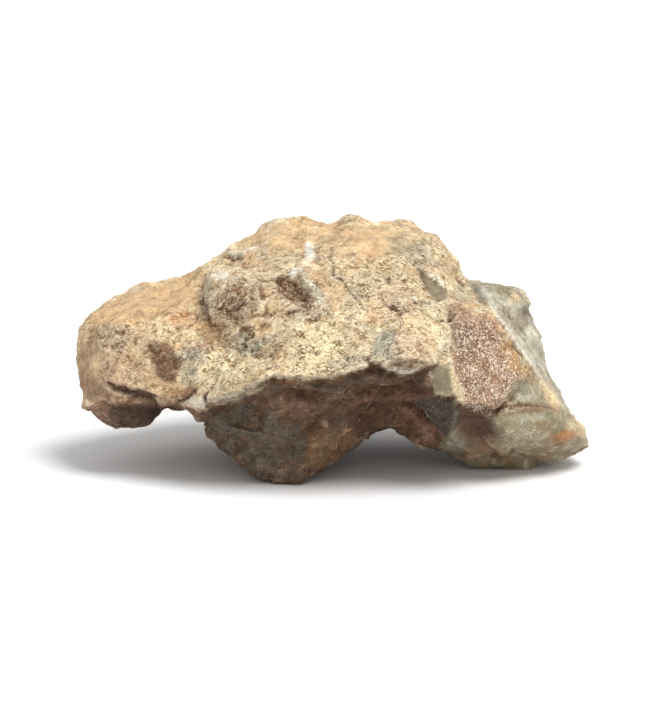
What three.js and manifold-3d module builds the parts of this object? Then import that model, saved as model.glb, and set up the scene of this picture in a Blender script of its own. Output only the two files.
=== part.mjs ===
// A broken, crusted stone that fits in the palm: one natural solid.
// A tall hump overhangs a dark foot, a round lobe stands out at one end and a glassy nose at the other.
// Millimetres, +Z up, origin on the ground under the middle of the stone's box.
import * as THREE from "three";
import { ConvexGeometry } from "three/addons/geometries/ConvexGeometry.js";
import { ImprovedNoise } from "three/addons/math/ImprovedNoise.js";
import { mergeVertices } from "three/addons/utils/BufferGeometryUtils.js";
import Module from "manifold-3d";

// Driving dimensions, in millimetres and degrees
const STONE_LENGTH = 60;
const STONE_GIRTH = 36;
const LAYOUT_TIP = 15; // the blocks are laid out as seen from this far above level
const SEAM_BLEND = 0.15; // how softly two blocks run into each other
const EDGE_WEAR = 0.1; // how far the broken edges are rubbed round
const EDGE_WANDER = 0.3; // how far an edge strays from a straight line
const WANDER_LENGTH = 6;
const GRAIN_HEIGHT = 0.15;
const GRAIN_LENGTH = 1.6;
const COARSE_CHIP = { size: 6.5, front: 0.2, back: 0.6 };
const FINE_CHIP = { size: 2.8, front: 0.2, back: 0.4 };
const BACK_STARTS = 9; // depth where the unweathered, more broken back begins
const BACK_FULL = 14;

// How the skin is laid on the blocks
const SKIN_DETAIL = 20;
const SKIN_PASSES = 14;
const SKIN_BUNCHING = 0.35; // share of the skin drawn from the ends to the middle
const SKIN_START = 40;
const SPINE_LEFT = new THREE.Vector3(-20, 5, 15);
const SPINE_RIGHT = new THREE.Vector3(21, 7, 13);

// Looks
const CRUST_COLOUR = 0xc9a67c;
const CRUST_ROUGHNESS = 0.9;

// Each block is the hull of its corners: [across, depth away from the viewer, height].
const BLOCKS = {
  // the hidden mass behind all the others
  back: [
    [-27.2, 8, 17.9], [-23.9, 8, 21.7], [-15.5, 9, 24.9], [-8.3, 9.5, 29.5], [1.4, 10.5, 30.5],
    [10.2, 11, 29.3], [13.9, 10, 24.5], [21.1, 12, 22.3], [23.1, 12, 17.9], [25.2, 11, 10.6],
    [27.2, 10.5, 6.9], [-27.2, 8, 10.2], [-20.2, 8, 9.5], [-11.8, 8, 7.4], [5.6, 8, 7.4],
    [14.4, 9, 5], [24.2, 10, 3.9], [-21.4, 16.5, 17.9], [-3.9, 20, 24.6], [2.2, 22.5, 17.9],
    [11.3, 20, 21.4], [20.4, 17.5, 15.3], [-9.7, 20, 9.7], [12.5, 19, 8.8], [-17.9, 16, 10.6],
  ],
  // the tall crusted middle, with its ledge along the front
  hump: [
    [-16.7, 6, 24.7], [-14.8, 6, 25.6], [-11.1, 6.5, 28.3], [-9, 7, 29.5], [-7.3, 7, 30.4],
    [-3.9, 7.5, 31], [1.5, 8, 31.3], [3.2, 8, 31], [9, 8, 30.7], [10.6, 8, 29.9],
    [12.9, 8, 28], [14.2, 7, 25.6], [15.1, 6, 23.4], [-15.5, 1, 21.4], [-8.3, -2.8, 24.4],
    [-0.4, -3.2, 25.3], [7.8, -2, 25.8], [12.7, -2, 22.5], [-15.2, -4.5, 8.4], [-11.4, -8.4, 9.7],
    [-8.2, -10.6, 11.3], [1.4, -11.9, 11.7], [6.9, -12.4, 13.7], [11.3, -11, 13.7], [14.2, -9, 14.4],
    [-12, -5.4, 17.9], [-3.9, -9, 18.3], [6.7, -9.6, 19.5], [13.1, -7.5, 19], [-12, 12, 27],
    [-3.9, 14, 30], [7.8, 15, 29.4], [13.9, 14, 25.8], [-15.5, 10, 9.7], [-0.4, 14, 9.7],
    [13.7, 14, 10.9],
  ],
  // the round end
  lobe: [
    [-30.4, 4, 13.8], [-30.3, 4, 15.5], [-29.7, 4, 17.5], [-28.7, 4.5, 19.2], [-27, 5, 21.3],
    [-25.7, 5.5, 22.3], [-23.9, 6, 22.9], [-21.4, 6.5, 23.6], [-17.6, 7, 24.4], [-29.9, 2.5, 10.6],
    [-27.8, -1, 14.4], [-25.1, -2.5, 17.3], [-21.4, -3, 19.5], [-16, -1.4, 20.9], [-13.9, -5, 16.7],
    [-25.1, -2.8, 12.5], [-20.2, -4.8, 10.6], [-19.3, -4, 9.5], [-14.1, -5.6, 9.2], [-22.5, -2.5, 9.9],
    [-27.4, -0.5, 10.2], [-28.6, 10, 15.3], [-26, 11, 19.3], [-21.4, 13, 21.4], [-27.7, 8, 10.3],
    [-19.6, 10, 9.7], [-13.8, 14, 22.5], [-13.8, 13, 10.9],
  ],
  // the crust that runs from the lobe on to the hump
  saddle: [
    [-22.5, -2.8, 17.9], [-20.2, -5, 10.6], [-19.3, -4.2, 9.5], [-14.9, -5.8, 8.4], [-11.4, -8.6, 9.8],
    [-8.3, -10.4, 11.4], [-8.8, -8, 15.3], [-13, -5.2, 17.6], [-15.8, -1.6, 21.4], [-19.3, -1.8, 21.1],
    [-21.4, 8, 19], [-21.4, 8, 10.9], [-9.7, 8, 21.4], [-9.7, 8, 10.9],
  ],
  // the dark block hanging under the lobe
  chin: [
    [-30.1, 2.6, 11], [-29.8, 2.4, 8.4], [-27.4, 2.2, 7.2], [-25.3, 1.8, 6.7], [-23.9, 1.4, 6.9],
    [-22.1, 1, 6.7], [-21, 1.2, 7.7], [-19.5, 1.8, 9.2], [-28.3, 0.2, 10.2], [-25.1, -1.4, 10.6],
    [-21.4, -2.2, 9.9], [-26, 0.2, 8.3], [-22.5, -0.6, 7.9], [-28.4, 7, 9.4], [-25.8, 8, 7.8],
    [-22.3, 9, 7.8], [-19.6, 10, 9.7], [-26, 5, 13.2], [-21.4, 5, 13.2],
  ],
  // a fresh pale flake at the notch between lobe and foot
  chip: [
    [-19.6, -1, 9.2], [-18.1, -1.5, 9], [-16.7, -2.5, 8.2], [-14.9, -3, 7.3], [-14.5, -4.8, 8.8],
    [-16, -5.2, 9.9], [-17.9, -4.2, 9.9], [-19, -2, 9.9], [-18.4, 8, 9.5], [-14.6, 9, 8.3],
    [-16.7, 4, 13.2],
  ],
  // the dark keel that the stone stands on
  foot: [
    [-14.7, -3.6, 8.3], [-14.7, -1.2, 6.9], [-14.7, 0.8, 5.2], [-14.3, 1.8, 4.1], [-11.1, 1, 2.1],
    [-8.9, 0.2, 0.5], [-7.6, -0.2, -0.2], [-5, -0.2, -0.3], [-3.5, 0.2, 0.2], [0.4, 1.4, 2.1],
    [3, 2.4, 4.5], [5.2, 3.4, 6.9], [-11.4, -5.4, 9.2], [-8.2, -7, 10.7], [-3.9, -8.2, 10.9],
    [0.8, -8.4, 11.3], [5.7, -6, 12.5], [-3.9, -4.6, 6.2], [-4.8, -1.2, 1.5], [-9.7, -2.2, 5],
    [1.4, -3, 7.4], [-13.9, 11, 6], [-8.8, 7, 1.1], [-4.3, 7, 0.6], [4.6, 12, 7.4],
    [-12, 16, 9.7], [4.6, 16, 10.9], [-10.9, 6, 15.5], [3.2, 6, 15.5],
  ],
  // the hidden stub behind the foot
  heel: [
    [-13.4, 8, 6.4], [-13, 14, 5.3], [-11.1, 18, 4.3], [-7.1, 19, 4.2], [-3.9, 16, 5],
    [-3.9, 10, 4.4], [-12, 19, 10.9], [-3.9, 20.5, 10.9], [-0.4, 12, 7.6],
  ],
  // the thin roof of the arch between foot and nose
  web: [
    [1.4, -6, 11.6], [7.8, -6.5, 12.7], [11.3, -5, 10.6], [13.2, 4.6, 3.6], [12.3, 4.4, 3.9],
    [10.2, 4.2, 4.8], [8.4, 4, 5.7], [6.7, 3.6, 6.7], [5.6, 3.4, 7.1], [2.2, 1, 6.6],
    [7.8, 0.5, 8.5], [2, 15, 9.7], [13.7, 15, 6.2], [7.8, 12, 7.4], [3.2, 6, 15.5],
    [11.3, 8, 15.5],
  ],
  // a squared grey block under the end of the ledge
  brick: [
    [9.2, -6.8, 10.3], [9.9, -9.6, 13], [11.3, -11, 13.9], [14.1, -10.6, 14.1], [14.6, -9.6, 9.9],
    [16, -8.4, 9], [13.9, -7.8, 8.3], [10.7, -6.2, 8.8], [13.7, -1.5, 5], [11.6, -2, 6],
    [11.3, 8, 13.2], [16, 8, 12], [13.7, 9, 5], [17.2, 8, 6.2], [12.5, 4, 16.7],
  ],
  // the flat rust-coloured face
  plate: [
    [13.4, -7.8, 19.3], [16, -3.9, 21.4], [19.7, -3.8, 19.5], [21.9, -2.1, 16.5], [22, -3.1, 13],
    [19.8, -5.8, 9.9], [15.2, -9.5, 8.9], [13.6, -10.3, 12], [14.2, 8, 21.4], [21.8, 9, 17.9],
    [23, 9, 10.9], [14.8, 8, 8.5],
  ],
  // the pale streaked face behind the plate
  fin: [
    [15.4, 5, 23.6], [17.2, 8, 23.6], [20.7, 10, 23.5], [22, 10.5, 22.8], [22.8, 10.6, 21.4],
    [23.4, 10.4, 20], [24, 10, 16.9], [24.8, 9.5, 13.7], [25.9, 9, 10.7], [27.2, 8, 8.9],
    [16.9, 3, 22.5], [19.5, 0.6, 18.6], [23, -0.6, 13.7], [26.5, 1.5, 9.2], [24.7, 1, 7.4],
    [19.5, -3.5, 9.7], [16.9, 14, 20.7], [20.9, 13, 21.4], [23.9, 13, 15.5], [24.9, 12, 7.4],
    [16, 15, 9.7], [16, 8, 17.9],
  ],
  // the glassy wedge at the low end
  nose: [
    [15.1, -5.6, 9], [20.1, -4.4, 9.2], [24.2, -1.6, 9.5], [26.7, 1.4, 9.1], [28.2, 3.4, 7.6],
    [29.8, 4.6, 6.4], [31.8, 5.6, 5], [28.6, 5.6, 3.4], [26.3, 6.2, 2.5], [24.2, 6.8, 1.9],
    [22.8, 7, 1.5], [20.7, 6.8, 1.8], [16.9, 6.2, 2], [14.4, 5.4, 2.6], [12.8, 5, 3.4],
    [12.5, 1.5, 5], [13.9, -3, 7.1], [21.8, -3, 6], [18.1, -3.4, 5.5], [26.5, 0.6, 5.5],
    [19.5, 1.6, 3.3], [29.1, 10, 6], [26.5, 12, 4.2], [21.8, 14, 3.2], [14.2, 13, 4.3],
    [16, 14, 8.5], [25.3, 12, 8.5], [17.2, 6, 13.2], [24.2, 8, 10.9],
  ],
  // a knuckle at the left of the hump
  boss: [
    [-14.8, -2, 21.4], [-14.6, -1.2, 23.2], [-13.7, -0.8, 24.9], [-11.3, -1.8, 25.4], [-9, -3.9, 24.9],
    [-8.3, -5.4, 23], [-8.8, -8.4, 19.3], [-10.6, -8.8, 16.2], [-13, -7.2, 16.5], [-14.4, -5.2, 18.3],
    [-11.1, -7.1, 21.6], [-12.6, 8, 21.4], [-8.5, 8, 21.4], [-12, 6, 16.7],
  ],
  // the pale lip that juts from the ledge
  lip: [
    [5.3, -10.2, 16], [6.9, -9.9, 17.3], [9.2, -9.8, 17.9], [12.5, -9.6, 16.1], [11.6, -12.2, 13.5],
    [9.5, -13.4, 12.8], [7.6, -13.7, 13], [6, -13.2, 13.9], [7.8, -12.2, 15.5], [7.8, -4, 15.5],
    [11.3, -4, 15.3],
  ],
};

// Soft-edged dents and rises: where, how far they reach each way, their turn in the face and their height
const DENTS = [
  { at: [-4.8, -4.8, 22.5], reach: [3.4, 3, 1.7], turn: -38, height: -2.4 }, // recess below the spur
  { at: [-2.5, -7.6, 19.5], reach: [1.8, 3, 0.9], turn: -10, height: -0.8 }, // small hollow beside it
  { at: [-9, -8, 15.1], reach: [3.4, 3, 2.2], turn: 0, height: -1.2 }, // recess below the knuckle
  { at: [-1.5, 8, 30.9], reach: [2.6, 6, 1.2], turn: 0, height: -0.6 }, // dips along the crest
  { at: [6, 8, 30.8], reach: [2.8, 6, 1.2], turn: 0, height: -0.8 },
  { at: [-2.9, -3, 25.1], reach: [1.2, 3, 3.2], turn: 20, height: 1.2 }, // spur
];

const HASH_STEPS = new THREE.Vector3(127.1, 311.7, 74.7);
const HASH_SALT = 53.9;
const HASH_SPREAD = 43758.5453;
const SAME_FACE_TURN = 0.998;
const SAME_FACE_GAP = 0.1;
const FAR_AWAY = 6;
const SLOPE_STEP = 0.05;
const ON_SKIN = 0.002;
const noise = new ImprovedNoise();
const { clamp, degToRad, smoothstep } = THREE.MathUtils;

// The flat faces of the hull of some corners, near-equal ones once.
function facesOf(corners) {
  const hull = new ConvexGeometry(corners.map((corner) => new THREE.Vector3(...corner)));
  const position = hull.getAttribute("position");
  const triangle = new THREE.Triangle();
  const faces = [];
  for (let i = 0; i < position.count; i += 3) {
    triangle.setFromAttributeAndIndices(position, i, i + 1, i + 2);
    const face = triangle.getPlane(new THREE.Plane());
    const isSame = (other) =>
      other.normal.dot(face.normal) > SAME_FACE_TURN &&
      Math.abs(other.constant - face.constant) < SAME_FACE_GAP;
    if (!faces.some(isSame)) faces.push(face);
  }
  return faces;
}

// A maximum whose corners are rounded over the given width; a negative width rounds a minimum.
function softLimit(values, width) {
  const limit = width > 0 ? Math.max(...values) : Math.min(...values);
  const sum = values.reduce((total, value) => total + Math.exp((value - limit) / width), 0);
  return limit + width * Math.log(sum);
}

// How far a point stands outside a block: negative inside.
function outside(faces, point) {
  const gaps = faces.map((face) => face.distanceToPoint(point));
  const widest = Math.max(...gaps);
  return widest > FAR_AWAY ? widest : softLimit(gaps, EDGE_WEAR);
}

// A fixed scatter of values from 0 to 1 over the cells of a grid.
function scatter(cell, kind) {
  const raw = Math.sin(cell.dot(HASH_STEPS) + kind * HASH_SALT) * HASH_SPREAD;
  return raw - Math.floor(raw);
}

// Broken facets: each cell of a loose grid tilts and lifts the skin its own way.
function chipHeight(point, size) {
  const home = point.clone().divideScalar(size).floor();
  const cell = new THREE.Vector3();
  const arm = new THREE.Vector3();
  const tilt = new THREE.Vector3();
  const nearest = [
    { distance: Infinity, height: 0 },
    { distance: Infinity, height: 0 },
  ];
  for (let n = 0; n < 27; n += 1) {
    cell.set((n % 3) - 1, (Math.floor(n / 3) % 3) - 1, Math.floor(n / 9) - 1).add(home);
    arm.set(scatter(cell, 1), scatter(cell, 2), scatter(cell, 3)).add(cell).multiplyScalar(size).sub(point);
    tilt.set(scatter(cell, 4), scatter(cell, 5), scatter(cell, 6)).subScalar(0.5);
    const distance = arm.length();
    const height = arm.dot(tilt) + size * 0.25 * (scatter(cell, 7) - 0.5);
    if (distance < nearest[0].distance) {
      nearest[1] = nearest[0];
      nearest[0] = { distance, height };
    } else if (distance < nearest[1].distance) {
      nearest[1] = { distance, height };
    }
  }
  const inCell = smoothstep(nearest[1].distance - nearest[0].distance, 0, 0.22 * size);
  return THREE.MathUtils.lerp((nearest[0].height + nearest[1].height) / 2, nearest[0].height, inCell);
}

// The rise of one dent or knob at a point.
function dentHeight(dent, point) {
  const arm = point.clone().sub(new THREE.Vector3(...dent.at));
  arm.applyAxisAngle(new THREE.Vector3(0, 1, 0), degToRad(dent.turn));
  arm.divide(new THREE.Vector3(...dent.reach));
  return dent.height * smoothstep(1 - arm.length(), 0, 1);
}

function noiseAt(point, length) {
  return noise.noise(point.x / length, point.y / length, point.z / length);
}

// A point moved a little, so that no edge runs ruler straight.
function wandered(point) {
  const apart = [[3.1, 0, 0], [0, 7.7, 0], [0, 0, 5.3]];
  const shifts = apart.map((shift) =>
    noiseAt(new THREE.Vector3(...shift).multiplyScalar(WANDER_LENGTH).add(point), WANDER_LENGTH),
  );
  return new THREE.Vector3(...shifts).multiplyScalar(EDGE_WANDER).add(point);
}

const blockFaces = Object.values(BLOCKS).map(facesOf);

// How far a point stands outside the whole stone: negative inside, zero on its skin.
function stoneField(point) {
  const moved = wandered(point);
  const gaps = blockFaces.map((faces) => outside(faces, moved));
  const backness = smoothstep(point.y, BACK_STARTS, BACK_FULL);
  let field = softLimit(gaps, -SEAM_BLEND);
  if (Math.abs(field) > FAR_AWAY) return field;
  for (const dent of DENTS) field -= dentHeight(dent, moved);
  for (const chip of [COARSE_CHIP, FINE_CHIP]) {
    field -= THREE.MathUtils.lerp(chip.front, chip.back, backness) * chipHeight(moved, chip.size);
  }
  return field - GRAIN_HEIGHT * noiseAt(point, GRAIN_LENGTH);
}

// The direction in which the field grows fastest.
function slopeAt(point) {
  const slope = new THREE.Vector3();
  for (const axis of ["x", "y", "z"]) {
    const ahead = point.clone();
    const behind = point.clone();
    ahead[axis] += SLOPE_STEP;
    behind[axis] -= SLOPE_STEP;
    slope[axis] = (stoneField(ahead) - stoneField(behind)) / (2 * SLOPE_STEP);
  }
  return slope;
}

// Where a point of a ball lands on the stone when it falls in towards the stone's spine.
function landing(direction) {
  const reach = 1 - SKIN_BUNCHING + SKIN_BUNCHING * direction.x ** 2;
  const along = (STONE_LENGTH / 2 + 2) * direction.x * reach;
  const share = (along - SPINE_LEFT.x) / (SPINE_RIGHT.x - SPINE_LEFT.x);
  const root = SPINE_LEFT.clone().lerp(SPINE_RIGHT, clamp(share, 0, 1));
  const girth = STONE_GIRTH / 2;
  const way = new THREE.Vector3(along - root.x, girth * direction.y, girth * direction.z).normalize();
  const point = root.clone().addScaledVector(way, SKIN_START);
  let gap = stoneField(point);
  while (gap > ON_SKIN && point.distanceTo(root) > 1) {
    point.addScaledVector(way, -Math.max(ON_SKIN, gap * 0.7));
    gap = stoneField(point);
  }
  return point;
}

// The corners that share an edge with each corner of a mesh.
function neighboursOf(index, count) {
  const neighbours = Array.from({ length: count }, () => new Set());
  for (let i = 0; i < index.length; i += 3) {
    const corners = index.slice(i, i + 3);
    for (const a of corners) for (const b of corners) if (a !== b) neighbours[a].add(b);
  }
  return neighbours.map((set) => [...set]);
}

// One step of evening out: slide along the skin towards the neighbours' middle, then back on to the skin.
function settled(point, others) {
  const slide = new THREE.Vector3();
  for (const other of others) slide.add(other);
  slide.divideScalar(others.length).sub(point);
  const slope = slopeAt(point);
  const steepness = Math.max(slope.lengthSq(), SLOPE_STEP);
  slide.addScaledVector(slope, -slide.dot(slope) / steepness);
  const next = point.clone().addScaledVector(slide, 0.5);
  return next.addScaledVector(slope, -clamp(stoneField(next), -0.5, 0.5) / steepness);
}

// The skin of the stone: a ball drawn in on to the blocks and evened out.
function skinGeometry() {
  const ball = new THREE.IcosahedronGeometry(1, SKIN_DETAIL);
  ball.deleteAttribute("normal");
  ball.deleteAttribute("uv");
  const skin = mergeVertices(ball, 1e-5);
  const position = skin.getAttribute("position");
  const neighbours = neighboursOf([...skin.index.array], position.count);
  let points = neighbours.map((_, i) => landing(new THREE.Vector3().fromBufferAttribute(position, i)));
  for (let pass = 0; pass < SKIN_PASSES; pass += 1) {
    points = points.map((point, i) => settled(point, neighbours[i].map((n) => points[n])));
  }
  points.forEach((point, i) => position.setXYZ(i, point.x, point.y, point.z));
  return skin.rotateX(-degToRad(LAYOUT_TIP));
}

// The stone cut off level where it stands, with its own flats to rest on.
async function groundedGeometry(skin) {
  const wasm = await Module();
  wasm.setup();
  const solidOf = (geometry) =>
    new wasm.Manifold(
      new wasm.Mesh({
        numProp: 3,
        vertProperties: geometry.getAttribute("position").array,
        triVerts: new Uint32Array(geometry.index.array),
      }),
    );
  const room = 4 * STONE_LENGTH;
  const box = new THREE.BoxGeometry(room, room, room).translate(0, 0, room / 2);
  box.deleteAttribute("normal");
  box.deleteAttribute("uv");
  const mesh = solidOf(skin).intersect(solidOf(mergeVertices(box))).getMesh();
  const grounded = new THREE.BufferGeometry();
  grounded.setAttribute("position", new THREE.BufferAttribute(mesh.vertProperties, 3));
  grounded.setIndex(new THREE.BufferAttribute(mesh.triVerts, 1));
  grounded.computeVertexNormals();
  return grounded;
}

function crustMaterial() {
  return new THREE.MeshStandardMaterial({
    color: CRUST_COLOUR,
    roughness: CRUST_ROUGHNESS,
    metalness: 0,
    flatShading: true,
  });
}

async function makeStone() {
  const stone = new THREE.Mesh(await groundedGeometry(skinGeometry()), crustMaterial());
  stone.name = "stone";
  stone.geometry.computeBoundingBox();
  const middle = stone.geometry.boundingBox.getCenter(new THREE.Vector3());
  stone.position.set(-middle.x, -middle.y, 0);
  return stone;
}

const meteorite = new THREE.Group();
meteorite.add(await makeStone());

export default meteorite;
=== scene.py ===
"""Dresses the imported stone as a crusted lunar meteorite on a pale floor.

The stone's solid is copied and remeshed finely. Named marks, placed by the photograph's pixels, cut its
ledges, cracks, pits, flat faces and straight sides, and named patches colour its crust and its broken faces.
"""

import logging
import math
from dataclasses import dataclass, field
from enum import Enum
from typing import Any, Protocol, Sequence, Union

import bpy
import numpy as np
from mathutils import Matrix, Vector


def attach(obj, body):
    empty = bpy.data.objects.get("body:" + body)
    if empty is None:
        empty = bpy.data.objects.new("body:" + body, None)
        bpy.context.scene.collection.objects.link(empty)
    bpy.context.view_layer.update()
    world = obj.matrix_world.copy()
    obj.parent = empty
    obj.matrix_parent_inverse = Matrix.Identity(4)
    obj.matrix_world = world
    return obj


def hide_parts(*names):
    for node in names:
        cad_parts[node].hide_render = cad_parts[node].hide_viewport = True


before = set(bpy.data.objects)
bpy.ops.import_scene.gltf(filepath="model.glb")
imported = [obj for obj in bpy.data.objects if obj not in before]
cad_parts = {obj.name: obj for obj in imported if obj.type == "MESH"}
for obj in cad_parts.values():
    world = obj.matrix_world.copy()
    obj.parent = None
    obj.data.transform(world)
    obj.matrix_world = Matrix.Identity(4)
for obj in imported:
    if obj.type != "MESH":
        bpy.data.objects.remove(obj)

log = logging.getLogger("meteorite")

Array = np.ndarray
Pixel = tuple[float, float]
Range = tuple[float, float]
Triple = tuple[float, float, float]

MM = 0.001
NODE = "stone"
BODY = "root"
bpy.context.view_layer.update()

# How far the borders of edges, marks and patches wander, in pixels.
RAGGED_EDGES = 1.0
RAGGED_MARKS = 2.0
RAGGED_PATCHES = 3.5


class Tint(Enum):
    """The stone's colours, as red, green and blue from 0 to 255."""

    CREAM = (244, 226, 188)
    SAND = (222, 198, 160)
    TAN = (222, 186, 146)
    ORANGE = (198, 150, 104)
    CHALK = (246, 242, 230)
    ASH = (188, 182, 162)
    BLUE_GREY = (164, 163, 152)
    MOSS = (144, 135, 108)
    PINK = (206, 172, 150)
    BROWN = (138, 104, 78)
    UMBER = (88, 60, 42)
    RUST = (146, 106, 87)
    RUSSET = (158, 102, 58)
    RED = (150, 86, 58)
    OCHRE = (204, 160, 104)
    SLATE = (112, 106, 94)
    EARTH = (112, 90, 73)
    COAL = (76, 71, 64)
    OLIVE = (154, 142, 112)
    MILK = (188, 187, 170)
    ROSE = (170, 138, 116)

    @property
    def linear(self) -> Array:
        """The colour as light, from 0 to 1."""
        share = np.array(self.value, float) / 255.0
        return np.where(share <= 0.04045, share / 12.92, ((share + 0.055) / 1.055) ** 2.4)


def ease(low: float, high: float, value: Array) -> Array:
    """Eases from 0 at low to 1 at high, which may lie below low."""
    share = np.clip((value - low) / (high - low), 0.0, 1.0)
    return share * share * (3.0 - 2.0 * share)


class Pattern:
    """Random patterns in space that come out the same in every run."""

    STEPS = np.array([[x, y, z] for x in (0, 1) for y in (0, 1) for z in (0, 1)])
    AROUND = np.array([[x, y, z] for x in (-1, 0, 1) for y in (-1, 0, 1) for z in (-1, 0, 1)])
    PRIMES = (73856093, 19349663, 83492791)
    SALT_PRIME = 668265263
    MIXERS = ((15, 2246822519), (13, 3266489917))
    LAST_SHIFT = 16
    START = 37.0
    SEED_STEP = 5.3
    WAVE_GAIN = 1.6
    TILT_SALT = 50
    PIT_SALT = 90

    def __init__(self, points: Array, size: float, seed: int) -> None:
        """Lays the pattern's grid over places, with cells of a size in millimetres."""
        self.places = points / size + self.START + self.SEED_STEP * seed
        self.seed = seed

    def draw(self, cells: Array, salt: int) -> Array:
        """Draws three numbers from 0 to 1 for each grid cell.

        Args:
            cells: Whole-number cells.
            salt: Picks one of many independent draws.

        Returns:
            Three columns of numbers.
        """
        mixed = np.zeros(len(cells), np.uint32)
        for column, prime in enumerate(self.PRIMES):
            mixed ^= cells[:, column].astype(np.uint32) * np.uint32(prime)
        drawn = []
        for column in range(3):
            value = mixed ^ np.uint32((salt * 3 + column + 1) * self.SALT_PRIME & 0xFFFFFFFF)
            for shift, factor in self.MIXERS:
                value = (value ^ (value >> np.uint32(shift))) * np.uint32(factor)
            drawn.append((value ^ (value >> np.uint32(self.LAST_SHIFT))) / 2.0**32)
        return np.stack(drawn, axis=1)

    def wave(self, places: Array, salt: int) -> Array:
        """One smooth pattern, from about -1 to 1.

        Args:
            places: Places, in cells.
            salt: Picks the pattern.

        Returns:
            One value for each place.
        """
        base = np.floor(places)
        part = places - base
        fade = part**3 * (part * (part * 6.0 - 15.0) + 10.0)
        total = np.zeros(len(places))
        for step in self.STEPS:
            slope = self.draw((base + step).astype(np.int64), salt) * 2.0 - 1.0
            weight = np.prod(np.where(step == 1, fade, 1.0 - fade), axis=1)
            total += weight * np.sum(slope * (part - step), axis=1)
        return self.WAVE_GAIN * total

    def clouds(self, octaves: int = 4, rough: float = 0.55) -> Array:
        """Cloudy patterns of falling size, added up.

        Args:
            octaves: How many.
            rough: How strong each is beside the one before.

        Returns:
            One value for each place, from about -1 to 1.
        """
        total = np.zeros(len(self.places))
        for octave in range(octaves):
            total += rough**octave * self.wave(self.places * 2.0**octave, self.seed + octave)
        return total

    def cells(self) -> tuple[Array, Array, Array, Array]:
        """Finds the two nearest scattered centres of each place.

        Returns:
            The two distances and the two centres, in cells.
        """
        base = np.floor(self.places).astype(np.int64)
        near = [np.full(len(base), np.inf) for _ in range(2)]
        spots = [np.zeros_like(self.places) for _ in range(2)]
        for step in self.AROUND:
            spot = base + step + self.draw(base + step, self.seed)
            distance = np.linalg.norm(self.places - spot, axis=1)
            first = distance < near[0]
            second = ~first & (distance < near[1])
            near[1] = np.where(first, near[0], np.where(second, distance, near[1]))
            spots[1] = np.where(first[:, None], spots[0], np.where(second[:, None], spot, spots[1]))
            near[0] = np.where(first, distance, near[0])
            spots[0] = np.where(first[:, None], spot, spots[0])
        return near[0], near[1], spots[0], spots[1]

    def chips(self, blend: float = 0.2) -> Array:
        """Broken facets: each cell tilts its own way.

        Args:
            blend: How wide the seams between facets are, in cells.

        Returns:
            One height for each place, in cells.
        """
        near, next_near, spot, next_spot = self.cells()
        share = np.clip((next_near - near) / blend, 0.0, 1.0)[:, None]
        planes = []
        for centre in (spot, next_spot):
            tilt = self.draw(np.floor(centre).astype(np.int64), self.seed + self.TILT_SALT) * 2.0 - 1.0
            planes.append(np.sum(tilt * (self.places - centre), axis=1))
        return 0.5 * (1.0 + share[:, 0]) * planes[0] + 0.5 * (1.0 - share[:, 0]) * planes[1]

    def pits(self, share: float, reach: float = 0.45) -> Array:
        """Scattered round hollows.

        Args:
            share: The share of cells that have one.
            reach: The radius of the largest, in cells.

        Returns:
            One depth for each place, from 0 to 1.
        """
        near, _, spot, _ = self.cells()
        luck = self.draw(np.floor(spot).astype(np.int64), self.seed + self.PIT_SALT)
        radius = reach * (0.5 + 0.5 * luck[:, 1])
        return np.where(luck[:, 0] < share, np.clip(1.0 - (near / radius) ** 2, 0.0, 1.0), 0.0)


@dataclass(frozen=True)
class View:
    """The photograph's view of the stone, and the camera that repeats it.

    The stone's box fills the same pixels as in the photograph, so every pixel has a place on the stone.
    """

    box: Array
    elevation: float = math.radians(15.0)
    distance: float = 1600.0
    width: int = 665
    height: int = 702
    left: float = 75.5
    right: float = 589.5
    top: float = 217.0
    bottom: float = 483.0
    sensor: float = 36.0
    far: float = 100.0

    @property
    def across(self) -> Array:
        """The direction to the picture's right."""
        return np.array([1.0, 0.0, 0.0])

    @property
    def up(self) -> Array:
        """The direction to the picture's top."""
        return np.array([0.0, math.sin(self.elevation), math.cos(self.elevation)])

    @property
    def inward(self) -> Array:
        """The direction in which the camera looks."""
        return np.array([0.0, math.cos(self.elevation), -math.sin(self.elevation)])

    @property
    def scale(self) -> float:
        """Millimetres in one pixel."""
        return float(np.ptp(self.box @ self.across) / (self.right - self.left))

    @property
    def origin(self) -> Pixel:
        """The pixel of the part's origin."""
        sideways = self.box @ self.across / self.scale
        upward = self.box @ self.up / self.scale
        row = (self.top + upward.max() + self.bottom + upward.min()) / 2.0
        return float(self.left - sideways.min()), float(row)

    def pixels(self, points: Array) -> tuple[Array, Array]:
        """The columns and rows in the photograph of places on the stone, in millimetres."""
        column, row = self.origin
        return column + points @ self.across / self.scale, row - points @ self.up / self.scale

    def build(self) -> bpy.types.Object:
        """Makes the camera and puts it in use.

        Returns:
            The camera object.
        """
        column, row = self.origin
        sideways = (self.width / 2.0 - column) * self.scale
        upward = (row - self.height / 2.0) * self.scale
        depth = float(np.mean(self.box @ self.inward)) - self.distance
        place = self.across * sideways + self.up * upward + self.inward * depth
        data = bpy.data.cameras.new("camera")
        data.sensor_fit = "HORIZONTAL"
        data.sensor_width = self.sensor
        data.lens = data.sensor_width * self.distance / (self.width * self.scale)
        data.clip_end = self.far
        camera = bpy.data.objects.new("camera", data)
        axes = Matrix((self.across, self.up, -self.inward)).transposed()
        camera.matrix_world = Matrix.Translation(Vector(place) * MM) @ axes.to_4x4()
        bpy.context.scene.collection.objects.link(camera)
        bpy.context.scene.camera = camera
        return camera


class Shape(Protocol):
    """An area of the photograph."""

    def gap(self, column: Array, row: Array) -> Array:
        """Pixels from the area's border, negative inside it."""


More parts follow.
